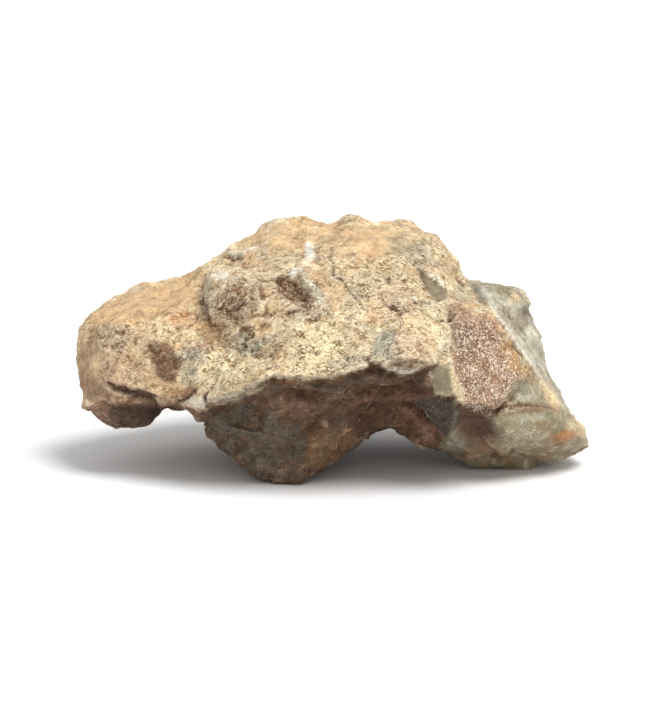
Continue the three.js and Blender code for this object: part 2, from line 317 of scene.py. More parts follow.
@dataclass(frozen=True)
class Oval:
    """An oval area: its middle, its two half widths and its turn in degrees, anticlockwise."""

    at: Pixel
    reach: Pixel
    turn: float = 0.0

    def gap(self, column: Array, row: Array) -> Array:
        """Pixels from the border, negative inside."""
        angle = math.radians(self.turn)
        right, up = column - self.at[0], self.at[1] - row
        along = (right * math.cos(angle) + up * math.sin(angle)) / self.reach[0]
        across = (up * math.cos(angle) - right * math.sin(angle)) / self.reach[1]
        return (np.hypot(along, across) - 1.0) * min(self.reach)


@dataclass(frozen=True)
class Line:
    """A band along a path, with a half width in pixels that shrinks towards its ends."""

    path: Sequence[Pixel]
    half: float = 1.5
    taper: float = 0.7

    def gap(self, column: Array, row: Array) -> Array:
        """Pixels from the band's border, negative inside."""
        nearest, along, _ = self.follow(column, row)
        return nearest - self.half * (1.0 - self.taper * np.abs(2.0 * along - 1.0) ** 2)

    def follow(self, column: Array, row: Array) -> tuple[Array, Array, Array]:
        """Measures places against the path.

        Args:
            column: Their columns.
            row: Their rows.

        Returns:
            The distance in pixels, the share of the path at the nearest point, and 1 on the path's left or
            -1 on its right.
        """
        corners = np.array(self.path, float)
        steps = np.diff(corners, axis=0)
        lengths = np.hypot(*steps.T)
        before = np.concatenate([[0.0], np.cumsum(lengths)])
        nearest = np.full(column.shape, np.inf)
        along = np.zeros(column.shape)
        side = np.ones(column.shape)
        for start, step, length, passed in zip(corners, steps, lengths, before):
            right, down = column - start[0], row - start[1]
            share = np.clip((right * step[0] + down * step[1]) / length**2, 0.0, 1.0)
            distance = np.hypot(right - share * step[0], down - share * step[1])
            closer = distance < nearest
            nearest = np.where(closer, distance, nearest)
            along = np.where(closer, (passed + share * length) / before[-1], along)
            left = np.where(step[0] * down - step[1] * right < 0.0, 1.0, -1.0)
            side = np.where(closer, left, side)
        return nearest, along, side


@dataclass(frozen=True)
class Outline:
    """An area inside straight sides."""

    corners: Sequence[Pixel]

    def gap(self, column: Array, row: Array) -> Array:
        """Pixels from the border, negative inside."""
        corners = [*self.corners, self.corners[0]]
        nearest, _, _ = Line(corners).follow(column, row)
        inside = np.zeros(column.shape, bool)
        for (x0, y0), (x1, y1) in zip(corners, corners[1:]):
            crosses = (y0 > row) != (y1 > row)
            slope = (x1 - x0) / (y1 - y0) if y1 != y0 else 0.0
            inside ^= crosses & (column < x0 + (row - y0) * slope)
        return np.where(inside, -nearest, nearest)


class Place(Enum):
    """The stone's features, as areas and paths of the photograph in pixels."""

    LEDGE = Line(((203, 409), (209, 404), (236, 396), (252, 388), (273, 377), (302, 379), (330, 379),
                  (345, 375), (363, 368), (374, 364)))
    TONGUE_EDGE = Line(((368, 362), (374, 364), (382, 368), (397, 373), (410, 373), (420, 369), (428, 365),
                        (438, 364)))
    PLATE_EDGE = Line(((456, 400), (464, 409), (474, 415), (486, 416), (497, 408), (508, 399), (518, 386)))
    BRICK_TOP = Line(((404, 395), (430, 396), (456, 396)))
    FIN_EDGE = Line(((474, 282), (486, 302), (497, 314), (511, 339), (527, 361), (542, 382), (558, 405)),
                     3.0)
    NOSE_GROOVE = Line(((462, 412), (484, 413), (500, 409), (520, 404), (540, 405), (556, 412)), 4.0)
    NOSE_CRACK = Line(((463, 431), (478, 436), (488, 450), (499, 459), (524, 461)), 4.0)
    NOSE_HAIR = Line(((480, 432), (486, 440), (496, 452)), 1.0)
    CRACK = Line(((331, 240), (331, 255), (334, 276), (347, 287), (356, 298), (371, 318)), 1.5)
    FLAKE_CRACK = Line(((176, 403), (184, 401), (191, 396), (199, 391)), 1.6, 0.4)
    FLAKE_SIDE = Line(((206, 393), (207, 407)), 1.6, 0.3)
    FLAKE_UNDER = Line(((168, 405), (180, 408), (192, 412), (204, 420)), 4.0, 0.3)
    SPUR = Line(((308, 240), (310, 256), (302, 270), (306, 282), (318, 296)), 8.0, 0.4)
    SPUR_WHITE = Line(((309, 242), (310, 264)), 6.0)
    SPUR_KNEE = Line(((288, 275), (302, 269)), 5.5)
    SPUR_TIP = Line(((303, 280), (312, 289), (324, 302)), 5.5)
    STREAK = Line(((228, 254), (256, 248)), 3.5)
    STREAK_SHADE = Line(((224, 259), (244, 257)), 3.5)
    SLIT = Line(((109, 381), (118, 388), (132, 392), (146, 395), (157, 396)), 5.0, 0.6)
    CHIN_TOP = Line(((96, 397), (126, 400), (150, 403), (170, 405)), 4.5, 0.3)
    CHIN_RIDGE = Line(((110, 404), (118, 430)), 9.0, 0.3)
    SLIT_LIP = Line(((102, 381), (110, 379), (118, 382), (130, 387)), 2.6)
    LUMP_UNDER = Line(((380, 298), (388, 306), (398, 313), (413, 310)), 2.4)
    STRIP_EDGE = Line(((416, 266), (430, 276), (447, 290)), 1.7)
    STRIP_LINE = Line(((434, 272), (444, 286)), 1.3)
    FIN_STREAK = Line(((481, 287), (489, 300), (497, 312)), 2.6)
    FIN_STREAK_LOW = Line(((489, 306), (503, 325), (524, 354), (541, 378)), 2.2)
    FIN_STREAK_THIN = Line(((508, 322), (524, 346), (542, 376)), 1.3)
    FIN_STREAK_FAR = Line(((516, 328), (532, 350), (548, 380)), 1.1)
    ARCH_SLIT = Line(((398, 402), (408, 404), (420, 412), (430, 424)), 4.0)
    ARCH_FOLD = Line(((346, 398), (366, 390), (392, 386), (420, 386)), 4.0)
    ARCH_RIDGE = Line(((350, 406), (372, 396), (396, 394), (416, 399)), 4.0)
    ARCH_FOLD_LOW = Line(((352, 412), (372, 402), (392, 404)), 3.5)
    RIB = Line(((398, 408), (416, 415), (428, 430), (437, 442)), 6.5)
    CREAM_EDGE = Line(((450, 366), (455, 386), (463, 404)), 4.5, 0.3)
    PLATE_FOOT = Line(((462, 405), (474, 411), (490, 409)), 4.0)
    RIM_LEFT = Line(((208, 404), (236, 397), (256, 388), (270, 380)), 3.2, 0.3)
    BROWN_RUN = Line(((205, 310), (218, 328), (231, 344), (238, 356)), 7.0, 0.3)
    RIM_TONGUE = Line(((388, 369), (399, 372), (412, 371), (420, 367)), 3.0)
    FOOT_SIDE_LEFT = Line(((205, 434), (264, 485)))
    FOOT_SIDE_RIGHT = Line(((292, 487), (382, 431)))
    FOOT_RIDGE = Line(((292, 424), (300, 446), (302, 480)), 11.0, 0.3)
    PALE_ARC = Line(((256, 350), (264, 342), (280, 337)), 3.0)
    SADDLE_STREAK = Line(((536, 378), (548, 392), (558, 408)), 2.2)
    LOBE = Outline(((74, 352), (100, 304), (150, 282), (196, 272), (204, 300), (180, 345), (205, 400),
                    (166, 404), (84, 404)))
    FOOT = Outline(((200, 412), (236, 399), (252, 391), (273, 380), (330, 382), (364, 371), (376, 367),
                    (398, 376), (428, 368), (434, 394), (456, 398), (446, 456), (381, 432), (340, 470),
                    (285, 492), (250, 486), (198, 452)))
    FOOT_LEFT = Outline(((208, 424), (222, 410), (240, 404), (274, 414), (306, 430), (307, 446), (300, 462),
                         (252, 462), (222, 448)))
    FOOT_RIGHT = Outline(((307, 430), (344, 424), (362, 434), (340, 458), (316, 470), (302, 466),
                          (308, 446)))
    ARCH = Outline(((338, 388), (364, 376), (400, 380), (430, 384), (414, 402), (436, 440), (382, 428),
                    (360, 440)))
    CHIN = Outline(((70, 412), (88, 408), (104, 400), (125, 401), (168, 403), (160, 434), (110, 440),
                    (70, 434)))
    FLAKE = Outline(((184, 403), (192, 397), (205, 395), (207, 409), (198, 408)))
    FLAKE_TOP = Outline(((182, 397), (186, 388), (199, 386), (200, 391), (191, 396)))
    BOSS = Outline(((204, 300), (206, 280), (214, 270), (232, 266), (252, 272), (262, 284), (262, 306),
                    (250, 320), (230, 330), (212, 326)))
    BOSS_FRONT = Outline(((216, 300), (226, 288), (242, 280), (256, 282), (259, 304), (248, 318),
                          (226, 324), (214, 318)))
    BOSS_RIGHT = Outline(((240, 280), (256, 282), (259, 300), (250, 314), (242, 300)))
    BOSS_SIDE = Outline(((200, 302), (203, 278), (213, 271), (217, 284), (214, 304), (206, 316)))
    RECESS = Outline(((272, 280), (282, 275), (295, 280), (309, 294), (321, 308), (308, 311), (292, 304),
                      (277, 295)))
    DIAMOND = Outline(((145, 345), (158, 339), (175, 346), (183, 366), (175, 384), (157, 377)))
    STRIP = Outline(((416, 267), (428, 272), (445, 286), (448, 299), (437, 303), (425, 291)))
    PLATE = Outline(((451, 340), (450, 322), (456, 318), (480, 316), (492, 319), (503, 337), (518, 360),
                     (521, 374), (515, 387), (506, 398), (495, 407), (484, 415), (472, 413), (462, 407),
                     (457, 392), (453, 366)))
    PANE = Outline(((430, 367), (448, 363), (452, 393), (433, 392)))
    BRICK = Outline(((407, 397), (452, 396), (461, 408), (456, 424), (446, 438), (428, 420), (416, 408)))
    SADDLE_PLANE = Outline(((498, 400), (512, 388), (520, 372), (530, 372), (546, 392), (548, 406),
                            (520, 404)))
    FIN = Outline(((466, 281), (514, 282), (537, 312), (556, 370), (574, 412), (556, 408), (541, 382),
                   (524, 360), (510, 338), (494, 312)))
    FIN_WEDGE = Outline(((466, 282), (476, 283), (492, 304), (484, 306)))
    NOSE = Outline(((440, 440), (456, 422), (474, 412), (500, 411), (545, 405), (562, 408), (596, 438),
                    (570, 456), (532, 474), (474, 468), (444, 460)))
    SHOULDER = Oval((475, 267), (21, 16), -20)
    FIN_SIDE = Oval((556, 365), (16, 36), 22)
    FOOT_CORNER = Oval((318, 474), (22, 15), 20)
    ARCH_TOP = Oval((394, 441), (36, 18), 0)
    CREST_LEFT = Oval((264, 226), (14, 14), 0)
    CREST_MIDDLE = Oval((347, 218), (18, 14), 0)
    CREST_END = Oval((425, 224), (18, 14), 0)
    LOBE_TIP = Oval((78, 345), (16, 18), 0)
    NOSE_LOW = Oval((490, 468), (24, 12), 0)
    NOSE_UPPER = Oval((580, 416), (16, 14), 0)
    CHIN_LOW = Oval((126, 432), (26, 12), 0)
    # Where the plate's overhang shades the nose; this place is painted as shadow.
    NOSE_SHADOW = Oval((472, 423), (28, 13), -28)
    NOSE_FOLD = Line(((446, 426), (466, 434), (482, 446), (498, 460)), 8.0, 0.4)
    NOSE_LEFT = Oval((478, 442), (26, 20), 0)
    NOSE_TOP = Oval((524, 417), (30, 4), 2)
    NOSE_PALE = Oval((522, 438), (26, 16), 0)
    NOSE_SPOT_END = Oval((556, 438), (4, 3), 0)
    SADDLE_MINT = Oval((524, 393), (13, 9), 0)
    SADDLE_OLIVE = Oval((527, 407), (19, 5), -2)
    SADDLE_TAN = Oval((551, 398), (7, 18), 22)
    NOSE_TIP = Oval((576, 428), (14, 10), -35)
    LOBE_GREY = Oval((119, 339), (23, 16), -10)
    LOBE_END = Oval((88, 366), (12, 34), 0)
    LOBE_LOW = Oval((92, 392), (20, 12), -15)
    LOBE_SIDE = Oval((100, 372), (34, 36), 0)
    LOBE_SPOT = Oval((87, 352), (7, 10), 0)
    LOBE_SPOT_LOW = Oval((84, 376), (7, 12), 0)
    LOBE_SPOT_HIGH = Oval((110, 331), (13, 7), -10)
    LOBE_CREAM = Oval((96, 360), (6, 10), 0)
    LOBE_TOP = Oval((150, 302), (60, 18), 18)
    ORANGE_BAND = Oval((188, 321), (34, 10), -8)
    CREAM_BAND = Oval((168, 330), (22, 9), -12)
    CREAM_FLAT = Oval((215, 372), (36, 16), 18)
    GREEN_PATCH = Oval((192, 357), (16, 8), 5)
    GREY_PATCH = Oval((188, 378), (12, 9), 10)
    GREY_SPOT = Oval((193, 373), (5, 7), -15)
    BOSS_TOP = Oval((222, 275), (11, 5), 12)
    BOSS_BELOW = Oval((217, 330), (14, 13), -30)
    BLUE_HOLLOW = Oval((249, 346), (17, 13), -20)
    HOLLOW = Oval((314, 319), (13, 5), 22)
    HOLLOW_LOW = Oval((292, 312), (12, 4), 10)
    CREAM_MIDDLE = Oval((318, 345), (48, 26), 0)
    CREST = Oval((300, 236), (62, 15), 4)
    CREST_RIGHT = Oval((372, 240), (40, 16), 0)
    GREEN_AREA = Oval((369, 287), (11, 18), 25)
    LUMP = Oval((394, 297), (17, 13), -15)
    GREY_CREST = Oval((412, 249), (24, 13), -15)
    BLUE_PATCH = Oval((386, 346), (13, 18), -20)
    TONGUE = Oval((411, 346), (22, 14), 8)
    GREY_RIM = Oval((350, 362), (26, 8), 14)
    PIT = Oval((449, 315), (5, 9), -20)
    PIT_SIDE = Oval((459, 312), (13, 8), -30)
    MOSS_CORNER = Oval((464, 294), (11, 9), 0)
    CREAM_STRIP = Oval((444, 345), (8, 22), -4)
    CREAM_UPPER = Oval((425, 318), (16, 12), 0)
    UPPER_RIGHT = Oval((412, 292), (42, 34), -20)
    PLATE_RED = Oval((491, 328), (9, 7), -45)
    PLATE_OCHRE = Oval((509, 356), (7, 19), 28)
    PLATE_GREY = Oval((465, 338), (11, 16), 0)
    PLATE_TOP = Oval((470, 318), (18, 7), -15)
    FIN_KNOB = Oval((517, 300), (8, 5), -15)
    FIN_SPOT = Oval((526, 312), (6, 8), -20)
    FIN_GREEN = Oval((520, 326), (12, 9), -50)
    FIN_PALE = Oval((532, 333), (5, 8), 20)
    FIN_TOP = Oval((505, 290), (12, 6), 0)
    NOSE_OCHRE = Oval((527, 374), (7, 9), -30)
    NOSE_BLUE = Oval((455, 443), (9, 12), 0)
    NOSE_SPOT = Oval((562, 436), (13, 6), 12)
    NOSE_PINK = Oval((475, 458), (9, 4), -10)
    FOOT_RED = Oval((300, 404), (34, 12), 0)
    FOOT_LOW = Oval((275, 470), (26, 10), 0)
    CHIN_PALE = Oval((97, 410), (19, 13), -20)
    CHIN_DARK = Oval((136, 415), (26, 11), 0)
    RIB_END = Oval((428, 436), (8, 7), -40)
    DIAMOND_LOW = Oval((174, 386), (14, 11), -30)
    SPECK_RING = Oval((281, 354), (9, 8), 0)


@dataclass
class Skin:
    """The stone's fine surface as arrays, in millimetres of the part's frame."""

    SWAY_SIZE = 1.8
    SWAY_SEEDS = (21, 22)
    SWAY_ROUGH = 0.65
    RUB_SHARES = (0.5, -0.53)
    TURN_PASSES = 10

    points: Array
    quads: Array
    view: View
    near: Array = field(init=False)
    count: Array = field(init=False)
    out: Array = field(init=False)
    facing: Array = field(init=False)
    sway: Array = field(init=False)

    def __post_init__(self) -> None:
        """Finds each point's neighbours."""
        sides = np.concatenate([self.quads[:, [i, (i + 1) % 4]] for i in range(4)])
        edges = np.unique(np.sort(sides, axis=1), axis=0)
        both = np.concatenate([edges, edges[:, ::-1]])
        both = both[np.argsort(both[:, 0], kind="stable")]
        self.count = np.bincount(both[:, 0], minlength=len(self.points))
        first = np.cumsum(self.count) - self.count
        place = np.arange(len(both)) - first[both[:, 0]]
        self.near = np.tile(np.arange(len(self.points))[:, None], (1, self.count.max()))
        self.near[both[:, 0], place] = both[:, 1]
        patterns = [Pattern(self.points, self.SWAY_SIZE, seed) for seed in self.SWAY_SEEDS]
        self.sway = np.stack([pattern.clouds(rough=self.SWAY_ROUGH) for pattern in patterns])
        self.turn()

    def around(self, values: Array) -> Array:
        """The mean of each point's neighbours.

        Args:
            values: One number or row for each point.

        Returns:
            The means, in the same form.
        """
        rows = values.reshape(len(self.points), -1)
        spare = (self.near.shape[1] - self.count)[:, None]
        total = rows[self.near].sum(axis=1) - spare * rows
        return (total / self.count[:, None]).reshape(values.shape)

    def spread(self, values: Array, passes: int) -> Array:
        """Softens values along the surface.

        Args:
            values: One number or row for each point.
            passes: How often each point takes on half of its neighbours' mean.

        Returns:
            The softened values.
        """
        for _ in range(passes):
            values = 0.5 * values + 0.5 * self.around(values)
        return values

    def rub(self, passes: int) -> None:
        """Rubs small facets smooth without shrinking the stone.

        Args:
            passes: How often.
        """
        for _ in range(passes):
            for share in self.RUB_SHARES:
                self.points = self.points + share * (self.around(self.points) - self.points)

    def normals(self, passes: int = 0) -> Array:
        """The outward directions.

        Args:
            passes: How often they are softened.

        Returns:
            One unit direction for each point.
        """
        a, b, c, d = (self.points[self.quads[:, i]] for i in range(4))
        faces = np.cross(c - a, d - b)
        total = np.zeros_like(self.points)
        for k in range(3):
            for corner in range(4):
                total[:, k] += np.bincount(self.quads[:, corner], faces[:, k], len(self.points))
        total = self.spread(total, passes)
        return total / np.maximum(np.linalg.norm(total, axis=1, keepdims=True), 1e-12)

    def turn(self) -> None:
        """Finds the soft outward directions again, after the surface has moved."""
        self.out = self.normals(self.TURN_PASSES)
        self.facing = -self.out @ self.view.inward

    def lift(self, heights: Array) -> None:
        """Moves each point outwards by its height in millimetres."""
        self.points = self.points + self.out * heights[:, None]

    def seen(self, low: float = -0.1, high: float = 0.25) -> Array:
        """How far each point faces the viewer, from 0 to 1."""
        return ease(low, high, self.facing)

    def pixels(self, ragged: float = 0.0) -> Array:
        """The points' columns and rows, moved about by some pixels so that edges come out ragged."""
        return np.stack(self.view.pixels(self.points)) + ragged * self.sway

    def inside(self, place: Place, start: float, full: float) -> Array:
        """Each point's share in a place that is seen: 0 at start and 1 at full, in pixels from its border."""
        return ease(start, full, place.value.gap(*self.pixels(RAGGED_MARKS))) * self.seen()

    def hollow(self, passes: int) -> Array:
        """How far each point lies below the softened surface, in millimetres."""
        return np.sum((self.spread(self.points, passes) - self.points) * self.out, axis=1)


class Mark(Protocol):
    """Something cut into the stone or raised on it."""

    def carve(self, skin: Skin) -> None:
        """Changes the skin."""


@dataclass(frozen=True)
class Rise:
    """A rise, or with a negative height a dent, a pit or a crack."""

    place: Place
    height: float
    fade: float

    def carve(self, skin: Skin) -> None:
        """Lifts the skin inside the place."""
        skin.lift(self.height * skin.inside(self.place, 0.0, -self.fade))


@dataclass(frozen=True)
class Tilt:
    """A face that is high at one end and low at the other, such as one that looks down."""

    place: Place
    high: float
    low: float
    turn: float = 90.0
    fade: float = 4.0

    def carve(self, skin: Skin) -> None:
        """Lifts the skin inside the place along a slope."""
        weight = skin.inside(self.place, 0.0, -self.fade)
        column, row = skin.view.pixels(skin.points)
        angle = math.radians(self.turn)
        along = column * math.cos(angle) - row * math.sin(angle)
        ends = along[weight > 0.5]
        share = np.clip((along - ends.min()) / np.ptp(ends), 0.0, 1.0)
        skin.lift(weight * (self.low + (self.high - self.low) * share))


@dataclass(frozen=True)
class Flat:
    """A flat broken face that stands proud of what is round it."""

    place: Place
    lift: float = 0.0
    fade: float = 3.0
    share: float = 0.85

    def carve(self, skin: Skin) -> None:
        """Draws the skin inside the place on to one plane."""
        weight = skin.inside(self.place, 0.0, -self.fade)
        inside = skin.points[weight > 0.5]
        middle = inside.mean(axis=0)
        normal = np.linalg.svd(inside - middle, full_matrices=False)[2][2]
        normal *= -np.sign(normal @ skin.view.inward)
        drop = (skin.points - middle) @ normal - self.lift
        skin.points = skin.points - (weight * self.share * drop)[:, None] * normal


@dataclass(frozen=True)
class Shift:
    """A small correction of the outline: everything in the place moves in the picture's plane."""

    place: Place
    right: float
    up: float
    fade: float = 14.0

    def carve(self, skin: Skin) -> None:
        """Moves the skin sideways, except where it stands on the floor."""
        share = ease(0.0, -self.fade, self.place.value.gap(*skin.view.pixels(skin.points)))
        share = share * ease(0.3, 2.0, skin.points[:, 2]) * skin.view.scale
        skin.points = skin.points + share[:, None] * (self.right * skin.view.across + self.up * skin.view.up)


@dataclass(frozen=True)
class Side:
    """A straight side, seen edge on: what sticks out on the right of its line is cut back to it."""

    place: Place
    share: float = 0.85
    reach: float = 30.0

    def carve(self, skin: Skin) -> None:
        """Draws the skin back to the line."""
        start, end = np.array(self.place.value.path, float)
        length = float(np.hypot(*(end - start)))
        right, down = (end - start) / length
        column, row = skin.view.pixels(skin.points)
        along = ((column - start[0]) * right + (row - start[1]) * down) / length
        over = (row - start[1]) * right - (column - start[0]) * down
        share = ease(-0.1, 0.1, along) * ease(1.1, 0.9, along) * ease(self.reach, 0.7 * self.reach, over)
        push = self.share * share * np.maximum(over, 0.0) * skin.view.scale
        skin.points = skin.points + push[:, None] * (down * skin.view.across + right * skin.view.up)


@dataclass(frozen=True)
class Overhang:
    """An edge that overhangs: its path runs with the high side on the left."""

    place: Place
    rise: float
    drop: float
    reach: float = 9.0
    sharp: float = 1.6

    def carve(self, skin: Skin) -> None:
        """Pulls the high side towards the viewer and pushes the low side away."""
        distance, along, side = self.place.value.follow(*skin.pixels(RAGGED_EDGES))
        fall = np.exp(-((distance / self.reach) ** 2)) * ease(0.0, 0.06, np.minimum(along, 1.0 - along))
        height = -self.drop + (self.rise + self.drop) * ease(-self.sharp, self.sharp, distance * side)
        push = height * fall * skin.seen(-0.7, -0.3)
        skin.points = skin.points - push[:, None] * skin.view.inward


MARKS: list[Mark] = [
    Shift(Place.SHOULDER, -4.0, -9.0),
    Shift(Place.FIN_SIDE, -4.5, -3.0),
    Shift(Place.FOOT_CORNER, -2.0, 7.0),
    Shift(Place.ARCH_TOP, 0.0, 8.0),
    Shift(Place.CREST_LEFT, 0.0, 5.0),
    Shift(Place.CREST_MIDDLE, 0.0, 4.5),
    Shift(Place.CREST_END, 0.0, -6.0),
    Shift(Place.LOBE_TIP, 2.0, -3.0),
    Shift(Place.NOSE_LOW, 0.0, 4.0),
    Shift(Place.NOSE_UPPER, -4.0, -4.0),
    Shift(Place.CHIN_LOW, 0.0, 5.0),
    Side(Place.FOOT_SIDE_LEFT),
    Side(Place.FOOT_SIDE_RIGHT),
    Rise(Place.BOSS, 1.05, 8.0),
    Flat(Place.BOSS_FRONT, 0.1, 6.0, 0.6),
    Tilt(Place.BOSS_FRONT, 0.4, -0.6, 75.0, 6.0),
    Tilt(Place.BOSS_SIDE, 0.2, 0.1, 0.0, 6.0),
    Rise(Place.SPUR, 0.4, 8.0),
    Rise(Place.RECESS, -0.5, 9.0),
    Rise(Place.BROWN_RUN, -0.2, 9.0),
    Tilt(Place.DIAMOND, 0.15, -0.4, 60.0, 8.0),
    Rise(Place.LOBE_GREY, -0.25, 10.0),
    Rise(Place.FOOT_RIDGE, 0.5, 11.0),
    Flat(Place.FOOT_LEFT, 0.0, 10.0, 0.7),
    Flat(Place.FOOT_RIGHT, 0.0, 5.0, 0.7),
    Overhang(Place.LEDGE, 0.35, 1.2, 11.0, 1.2),
    Rise(Place.TONGUE, 0.4, 12.0),
    Overhang(Place.TONGUE_EDGE, 0.6, 1.3, 9.0, 1.2),
    Rise(Place.CHIN_TOP, 0.5, 4.0),
    Rise(Place.CHIN_RIDGE, 0.4, 9.0),
    Rise(Place.SLIT, -0.7, 5.0),
    Rise(Place.SLIT_LIP, 0.2, 3.0),
    Flat(Place.PLATE, 0.15, 5.0),
    Overhang(Place.PLATE_EDGE, 0.2, 0.6, 6.0, 1.2),
    Flat(Place.PANE, -0.1, 2.5),
    Flat(Place.BRICK, -0.1, 3.0),
    Overhang(Place.BRICK_TOP, 0.2, 0.6, 7.0, 1.2),
    Flat(Place.STRIP, -0.2, 2.5),
    Rise(Place.STRIP_EDGE, 0.25, 1.7),
    Flat(Place.FLAKE, 0.1, 2.5),
    Rise(Place.FLAKE_CRACK, -0.4, 1.6),
    Rise(Place.FLAKE_SIDE, -0.4, 1.6),
    Rise(Place.CRACK, -0.25, 1.8),
    Rise(Place.NOSE_SHADOW, -0.4, 10.0),
    Rise(Place.NOSE_PALE, 0.3, 14.0),
    Rise(Place.NOSE_GROOVE, -0.55, 4.0),
    Rise(Place.NOSE_CRACK, -0.35, 4.0),
    Rise(Place.NOSE_SPOT, 0.25, 4.0),
    Rise(Place.LUMP, 0.45, 10.0),
    Rise(Place.LUMP_UNDER, -0.45, 2.4),
    Rise(Place.PIT, -0.7, 5.0),
    Rise(Place.HOLLOW, -0.4, 5.0),
    Rise(Place.HOLLOW_LOW, -0.3, 4.0),
    Rise(Place.BLUE_HOLLOW, -0.1, 10.0),
    Rise(Place.GREY_SPOT, -0.35, 5.0),
    Rise(Place.STREAK, 0.25, 3.5),
    Rise(Place.STREAK_SHADE, -0.3, 3.5),
    Rise(Place.FIN_EDGE, 0.2, 3.0),
    Rise(Place.FIN_STREAK, -0.3, 2.6),
    Rise(Place.FIN_KNOB, 0.45, 5.0),
    Rise(Place.FIN_SPOT, -0.4, 5.0),
    Rise(Place.FIN_GREEN, -0.25, 7.0),
    Rise(Place.ARCH_SLIT, -0.9, 4.0),
    Rise(Place.RIB, 0.45, 6.5),
    Rise(Place.ARCH_FOLD, -0.5, 4.0),
    Rise(Place.ARCH_FOLD_LOW, -0.4, 3.5),
    Rise(Place.ARCH_RIDGE, 0.4, 4.0),
]


@dataclass(frozen=True)
class Patch:
    """A colour that lies on part of the stone, as the viewer sees it."""

    place: Place
    tint: Tint
    share: float = 0.8
    fade: float = 8.0
    ragged: float = 1.0


GROUND: list[Patch] = [
    # The foot and the chin are painted dark: partly their broken rock's colour, partly painted shade on the
    # stone's underside.
    Patch(Place.FOOT, Tint.EARTH, 1.0, 3.0, 0.25),
    Patch(Place.CHIN, Tint.UMBER, 1.0, 8.0, 0.5),
    Patch(Place.NOSE, Tint.OLIVE, 1.0, 4.0, 0.5),
    Patch(Place.SADDLE_PLANE, Tint.OLIVE, 0.8, 6.0, 0.7),
    Patch(Place.FIN, Tint.MILK, 0.95, 5.0, 0.35),
    Patch(Place.PLATE, Tint.ROSE, 0.95, 4.0, 0.6),
]

